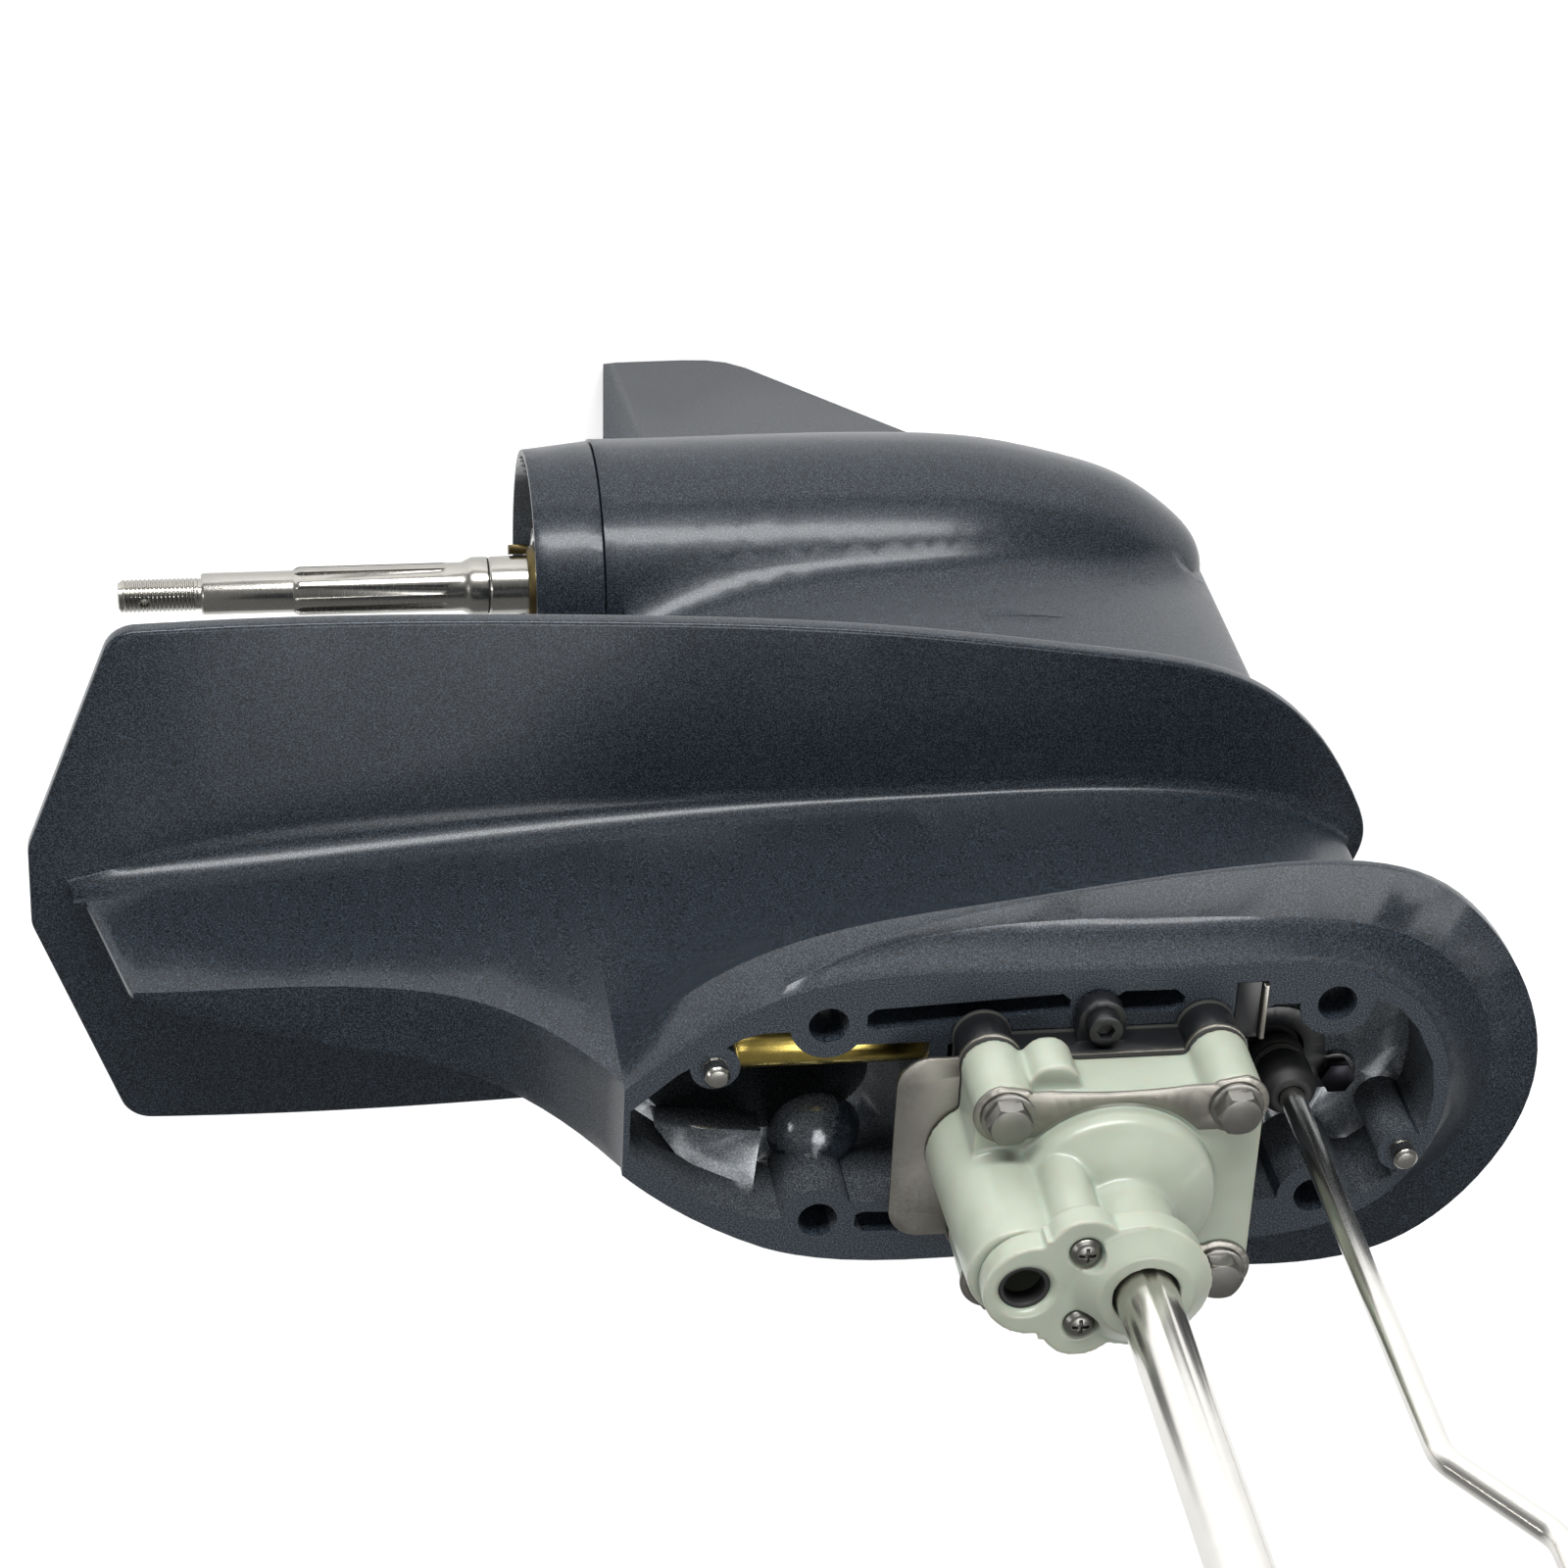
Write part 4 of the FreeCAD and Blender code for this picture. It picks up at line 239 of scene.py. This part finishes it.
def bare_metal(name, tone, roughness, stretch, line=GRINDING_LINE, depth=0.004, tarnish="5C5B57",
               stained=0.5):
    """Bare metal with tool lines. stretch draws them out where it is under 1; depth is in millimetres."""
    material, tree, shader = new_material(name, Metallic=1.0, Roughness=roughness)
    place = add_node(tree, "ShaderNodeTexCoord").outputs["Object"]
    drawn = add_node(tree, "ShaderNodeMapping", {"Vector": place, "Scale": stretch})
    lines = add_node(tree, "ShaderNodeTexNoise", {"Vector": drawn.outputs["Vector"], "Scale": 1 / line,
                                                  "Detail": 3.0})
    cloud = add_node(tree, "ShaderNodeTexNoise", {"Vector": place, "Scale": 1 / STAIN_WIDTH, "Detail": 4.0})
    stain = add_node(tree, "ShaderNodeMapRange", {"Value": cloud.outputs["Fac"], "From Min": 0.35,
                                                  "From Max": 0.8, "To Max": stained})
    colour = add_node(tree, "ShaderNodeMix", {"Factor": stain.outputs["Result"],
                                              "A": linear(tone), "B": linear(tarnish)}, data_type="RGBA")
    tree.links.new(colour.outputs["Result"], shader.inputs["Base Color"])
    rough = add_node(tree, "ShaderNodeMapRange", {"Value": lines.outputs["Fac"], "From Min": 0.3,
                                                  "From Max": 0.7, "To Min": roughness * 0.88,
                                                  "To Max": roughness * 1.15})
    tree.links.new(rough.outputs["Result"], shader.inputs["Roughness"])
    bump = add_node(tree, "ShaderNodeBump", {"Height": lines.outputs["Fac"], "Strength": 0.2,
                                             "Distance": depth * MM})
    tree.links.new(bump.outputs["Normal"], shader.inputs["Normal"])
    return material


# One steel in two tones: the upright copy is painted lighter as painted light, the level copy darker as
# painted shade.
upright_steel_painted_lighter = bare_metal("ground_stainless_upright_painted_lighter", "D2D0CB", 0.2, ROUND_UPRIGHT_BAR, depth=0.0012,
                           stained=0.08)
level_steel_painted_darker = bare_metal("ground_stainless_level_painted_darker", "A6A49E", 0.24, ROUND_LEVEL_BAR, depth=0.0012,
                         stained=0.15)
print("shaft steels:", upright_steel_painted_lighter.name, level_steel_painted_darker.name)

# %% [markdown]
# ## The other bare metals
# The same helper makes the rest, because they differ only in colour, gloss and the size of their grain.
# - Gears are case-hardened steel, which comes out of the furnace an even soft grey.
# - Bearing races are polished, so they are the brightest and smoothest.
# - Bolts are zinc-plated and tumbled: dull, warm and a little blotchy. The one bolt beside the rod is
#   black oxide.
# - Wear plate, straps and rings are stainless sheet, tumbled until it has no direction.
# - The cooling tube is drawn brass, with lines along its length. The thrust collar is weathered bronze,
#   brown and matt.
# - The anode is cast zinc, rough and grey, since it is there to corrode.

# %% Other bare metals
EVEN = (1.0, 1.0, 1.0)
ROUND_RACE = (1.0, 0.1, 0.1)
ALONG_TUBE = (0.2, 1.0, 1.0)

gear_steel = bare_metal("case_hardened_gear_steel", "8E8C88", 0.34, EVEN, line=0.5 * MM)
bearing_steel = bare_metal("polished_bearing_steel", "D2D3D4", 0.14, ROUND_RACE)
bolt_steel = bare_metal("zinc_plated_steel", "7E7D79", 0.34, EVEN, line=0.4 * MM, depth=0.01,
                        tarnish="6A6860")
black_oxide = bare_metal("black_oxide_steel", "26262A", 0.34, EVEN, line=0.4 * MM, depth=0.01,
                         tarnish="111113")
plate_steel = bare_metal("tumbled_stainless_sheet", "908D86", 0.38, EVEN, line=0.6 * MM, depth=0.02,
                         tarnish="6E6B64")
brass = bare_metal("drawn_brass", "C2AC5E", 0.24, ALONG_TUBE, line=0.5 * MM, depth=0.006, tarnish="5A4A20")
bronze = bare_metal("weathered_bronze", "5E5338", 0.42, EVEN, line=0.5 * MM, depth=0.01, tarnish="2C2618")
zinc = bare_metal("cast_zinc", "A6A8AA", 0.6, EVEN, line=0.8 * MM, depth=0.05, tarnish="6F7173")
other_metals = (gear_steel, bearing_steel, bolt_steel, black_oxide, plate_steel, brass, bronze, zinc)
print("other metals:", [metal.name for metal in other_metals])

# %% [markdown]
# ## Moulded plastic and rubber
# The pump housing is an unpigmented engineering plastic. It is milky with a green cast, and light goes
# a few millimetres in, so edges look brighter and hollows stay soft: that is subsurface scattering. The
# pump's base and the intake screens are black filled nylon, which is smooth but never glossy. The boot,
# seals and impeller are nitrile rubber, which is matter and a little dusty, and the gaskets are
# graphite fibre, dull all over.

# %% Plastics
MOULD_GRAIN = 0.5 * MM
MOULD_RELIEF = 0.01 * MM
FLOW_WIDTH = 14 * MM
SCATTER_DEPTH = 4 * MM


def moulded(name, tone, shade, roughness, **sockets):
    """Moulded plastic or rubber; shade is the colour of its thicker or dustier places."""
    material, tree, shader = new_material(name, Roughness=roughness, **sockets)
    place = add_node(tree, "ShaderNodeTexCoord").outputs["Object"]
    flow = add_node(tree, "ShaderNodeTexNoise", {"Vector": place, "Scale": 1 / FLOW_WIDTH, "Detail": 3.0})
    grains = add_node(tree, "ShaderNodeTexNoise", {"Vector": place, "Scale": 1 / MOULD_GRAIN,
                                                   "Detail": 2.0})
    colour = add_node(tree, "ShaderNodeMix", {"Factor": flow.outputs["Fac"], "A": linear(tone),
                                              "B": linear(shade)}, data_type="RGBA")
    tree.links.new(colour.outputs["Result"], shader.inputs["Base Color"])
    bump = add_node(tree, "ShaderNodeBump", {"Height": grains.outputs["Fac"], "Strength": 0.3,
                                             "Distance": MOULD_RELIEF})
    tree.links.new(bump.outputs["Normal"], shader.inputs["Normal"])
    return material


milky_plastic = moulded("milky_acetal", "A2A99C", "8B9182", 0.3, Subsurface_Weight=0.35,
                        Subsurface_Scale=SCATTER_DEPTH)
black_nylon = moulded("black_filled_nylon", "0E0F11", "1A1B1E", 0.36)
nitrile = moulded("nitrile_rubber", "0C0C0D", "1C1C1D", 0.62)
gasket_fibre = moulded("graphite_gasket_fibre", "1C1C1B", "30302E", 0.8)
print("plastics and rubber:", [m.name for m in (milky_plastic, black_nylon, nitrile, gasket_fibre)])

# %% [markdown]
# ## Rounding the edges
# No cast, moulded or machined edge is a knife edge, and a thin line of light along it is what makes
# metal look like metal. The solids keep their sharp edges. A bevel modifier rounds what the camera
# sees, after a weld has joined the faces of the imported mesh. It takes only edges sharper than the
# facets of a round surface, so a cylinder stays a cylinder. Each family of pieces has its own radius in
# millimetres.

# %% Finish for every solid
WELD_REACH = 0.002 * MM
SHARPEST_FACET = math.radians(32)
BEVEL_SEGMENTS = 2


def finish_node(name, material, radius):
    """Gives a solid its material and rounds its edges by radius, in millimetres."""
    solid = nodes[name]
    solid.data.materials.clear()
    solid.data.materials.append(material)
    for face in solid.data.polygons:
        face.use_smooth = True
        face.material_index = 0
    weld = solid.modifiers.new("join_faces", "WELD")
    weld.merge_threshold = WELD_REACH
    if radius:
        bevel = solid.modifiers.new("edge_radius", "BEVEL")
        bevel.width = radius * MM
        bevel.segments = BEVEL_SEGMENTS
        bevel.limit_method = "ANGLE"
        bevel.angle_limit = SHARPEST_FACET
        bevel.use_clamp_overlap = True
        bevel.harden_normals = True


FINISHES = {
    slate_enamel: {"gearcase_housing": 0.6, "bearing_carrier": 0.4},
    upright_steel_painted_lighter: {"driveshaft": 0.3, "shift_rod": 0.1},
    level_steel_painted_darker: {"propshaft": 0.2, "clutch_pin": 0.1, "clutch_pin_ring": 0.1, "shift_slider": 0.2,
                  "shift_spring": 0.1, "shift_plunger": 0.1, "impeller_key": 0.1, "dowel_pins": 0.3},
    gear_steel: {"pinion": 0.12, "forward_gear": 0.12, "reverse_gear": 0.12, "dog_clutch": 0.2,
                 "shift_cam": 0.4},
    bearing_steel: {"forward_bearing_outer": 0.4, "forward_bearing_inner": 0.4, "reverse_bearing_outer": 0.4,
                    "reverse_bearing_inner": 0.4, "pinion_bearing": 0.4, "carrier_needle_bearing": 0.4},
    black_oxide: {"rod_guide_bolt": 0.3},
    bolt_steel: {"pump_bolts": 0.35, "carrier_bolts": 0.3, "pinion_nut": 0.3, "cap_screws": 0.15,
                 "anode_screw": 0.3},
    plate_steel: {"wear_plate": 0.25, "pump_straps": 0.25, "boot_clamp_ring": 0.1, "pump_liner": 0.2,
                  "side_plugs": 0.3},
    bronze: {"propshaft_thrust_collar": 0.2},
    brass: {"driveshaft_bush": 0.2, "thrust_washer": 0.1, "pinion_thrust_washer": 0.1, "cooling_tube": 0.1},
    zinc: {"anode": 1.0},
    milky_plastic: {"pump_housing": 0, "pump_outlet_cap": 0},
    black_nylon: {"rod_guide_plate": 0.2, "pump_base": 0.5, "pump_base_screws": 0.3,
                  "water_screens": 0.3},
    nitrile: {"rod_boot": 0.4, "carrier_o_ring": 0.5, "propshaft_seals": 0.2, "driveshaft_seals": 0.2,
              "impeller": 0.3, "outlet_grommet": 0.3},
    gasket_fibre: {"pump_base_gasket": 0, "pump_gasket": 0, "plug_gaskets": 0.1},
}
for material, members in FINISHES.items():
    for name, radius in members.items():
        finish_node(name, material, radius)
left_plain = sorted(set(nodes) - {n for members in FINISHES.values() for n in members})
print("solids finished:", len(nodes) - len(left_plain), "plain:", left_plain)

# %% [markdown]
# ## Where the casting's enamel changes
# The deck was faced after painting and then dusted with a thin coat, so it is lighter and duller than
# the flanks. The chambers hold a wet-looking black coat. Hardly any light gets in there, so its two
# greys are written much lighter than they come out. Each face of the casting is sorted by where it lies
# and which way it looks: walls of a chamber look towards the chamber's middle, and the casting's
# outside looks away from it.

# %% Sort the casting's faces
OUTSIDE, DECK, INSIDE = 0, 1, 2
DECK_SKIN = 0.3 * MM
CHAMBER_MIDDLES = [Vector((-75, 0)) * MM, Vector((2, 0)) * MM, Vector((66, 0)) * MM]
CHAMBER_AFT, CHAMBER_FORE, CHAMBER_HALF = -113 * MM, 93 * MM, 33 * MM
CHAMBER_DEPTH = 118 * MM
LEVEL_SLACK = 0.5 * MM
SHAFT_Z = -283 * MM
TORPEDO_MOUTH_R, TORPEDO_MOUTH_X, TORPEDO_TOP_Z = 39.5 * MM, -20 * MM, -200 * MM


def face_kind(centre, normal):
    """Tells the deck's face and the inside of a chamber or of the torpedo's mouth from the outside."""
    if abs(centre.z) < DECK_SKIN and normal.z > 0.98:
        return DECK
    flat = Vector((centre.x, centre.y))
    middle = min(CHAMBER_MIDDLES, key=lambda m: (m - flat).length)
    inward = normal.x * (middle.x - flat.x) + normal.y * (middle.y - flat.y)
    under_deck = abs(centre.y) < CHAMBER_HALF and CHAMBER_AFT < centre.x < CHAMBER_FORE
    if under_deck and -CHAMBER_DEPTH < centre.z < -DECK_SKIN and inward > -LEVEL_SLACK:
        return INSIDE
    from_shaft = (centre.y ** 2 + (centre.z - SHAFT_Z) ** 2) ** 0.5
    in_mouth = from_shaft < TORPEDO_MOUTH_R and centre.x < TORPEDO_MOUTH_X and centre.z < TORPEDO_TOP_Z
    return INSIDE if in_mouth else OUTSIDE


casting = nodes["gearcase_housing"]
casting.data.materials.append(deck_enamel)
casting.data.materials.append(chamber_enamel)
for face in casting.data.polygons:
    face.material_index = face_kind(face.center, face.normal)
    face.use_smooth = face.material_index != DECK
counts = [sum(f.material_index == kind for f in casting.data.polygons) for kind in (OUTSIDE, DECK, INSIDE)]
print("casting faces outside, deck, inside:", counts)

# %% [markdown]
# ## Two pieces with two finishes
# The rod's guide plate is black nylon with a strip of steel moulded in, and the bearing carrier is
# painted only on the ring that shows behind the torpedo. As on the casting, each face gets its material
# by its place. That costs no seam and no second object.

# %% Steel strip and painted ring
STRIP_X, STRIP_Y = 44.2 * MM, 20 * MM
PAINTED_RING_R = 38.55 * MM
FACES_INWARD = -0.5    # the cosine under which a face of the ring looks at the shaft

guide = nodes["rod_guide_plate"]
guide.data.materials.append(plate_steel)
for face in guide.data.polygons:
    face.material_index = 1 if face.center.x > STRIP_X and face.center.y > STRIP_Y else 0

# The carrier's other faces take the chambers' black enamel, whose greys are painted lighter as painted light.
carrier = nodes["bearing_carrier"]
carrier.data.materials.append(chamber_enamel)
for face in carrier.data.polygons:
    out = Vector((0, face.center.y, face.center.z - SHAFT_Z))
    facing = face.normal.dot(out.normalized()) if out.length else 0
    face.material_index = 0 if out.length > PAINTED_RING_R and facing > FACES_INWARD else 1
print("steel faces on the guide:", sum(f.material_index for f in guide.data.polygons),
      "unpainted faces on the carrier:", sum(f.material_index for f in carrier.data.polygons))

# %% [markdown]
# ## Soft corners of the moulded pump
# Where the cup, the duct and the neck meet, the mould has generous radii. A bevel can't make those,
# because the corners run over one another. Remeshing the shape into small even cells and relaxing them
# does: it melts the inside corners and the outside edges alike by about a millimetre and a half.

# %% Soften the pump
RELAX_STEPS = 8


def soften(name, cell):
    """Rebuilds a solid's surface in cells of that size, in millimetres, and relaxes it."""
    solid = nodes[name]
    remesh = solid.modifiers.new("even_cells", "REMESH")
    remesh.mode = "VOXEL"
    remesh.voxel_size = cell * MM
    remesh.use_smooth_shade = True
    relax = solid.modifiers.new("melted_corners", "SMOOTH")
    relax.factor = 0.5
    relax.iterations = RELAX_STEPS


soften("pump_housing", cell=0.7)
soften("pump_outlet_cap", cell=0.5)
print("modifiers on the pump's housing:", [m.name for m in nodes["pump_housing"].modifiers])

# %% [markdown]
# ## The propeller shaft's thread
# The nut's thread is rolled: a ridge that climbs 1.25 mm each turn and runs out at both ends. A thread
# is a triangle with a blunt crest, swept along a helix. It is built here turn by turn from strips
# between a foot, two corners of the crest and a foot, and left out where the cotter pin's hole goes
# through.

# %% Thread
THREAD_PITCH = 1.25 * MM
THREAD_CREST = 5.0 * MM
THREAD_ROOT = 4.55 * MM
THREAD_AFT = -232.4 * MM
THREAD_LENGTH = 23.0 * MM
COTTER_HOLE = Vector((-225.2, 0.0)) * MM
COTTER_HOLE_R = 1.5 * MM
STEPS_PER_TURN = 48
RUN_OUT_STEPS = 30
# Places of the foot and crest, in pitches along the shaft from the ridge's middle.
PROFILE = [(-0.46, THREAD_ROOT), (-0.08, THREAD_CREST), (0.08, THREAD_CREST), (0.46, THREAD_ROOT)]

thread = bmesh.new()
rings = []
steps = int(THREAD_LENGTH / THREAD_PITCH * STEPS_PER_TURN)
for i in range(steps + 1):
    angle = 2 * math.pi * i / STEPS_PER_TURN
    x = THREAD_AFT + THREAD_PITCH * i / STEPS_PER_TURN
    taper = min(1.0, i / RUN_OUT_STEPS, (steps - i) / RUN_OUT_STEPS)
    ring = []
    for shift, radius in PROFILE:
        reach = THREAD_ROOT + (radius - THREAD_ROOT) * taper
        place = (x + shift * THREAD_PITCH, reach * math.cos(angle), SHAFT_Z + reach * math.sin(angle))
        ring.append(thread.verts.new(place))
    rings.append(ring)
for first, second in zip(rings, rings[1:]):
    for k in range(len(PROFILE) - 1):
        middle = (first[k].co + second[k + 1].co) / 2
        if (Vector((middle.x, middle.y)) - COTTER_HOLE).length > COTTER_HOLE_R:
            thread.faces.new((first[k], first[k + 1], second[k + 1], second[k]))
thread_mesh = bpy.data.meshes.new("propeller_nut_thread")
thread.to_mesh(thread_mesh)
thread.free()
thread_piece = bpy.data.objects.new("propeller_nut_thread", thread_mesh)
bpy.context.scene.collection.objects.link(thread_piece)
thread_mesh.materials.append(level_steel_painted_darker)
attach(thread_piece, "propeller_shaft")
print("thread turns:", steps // STEPS_PER_TURN)
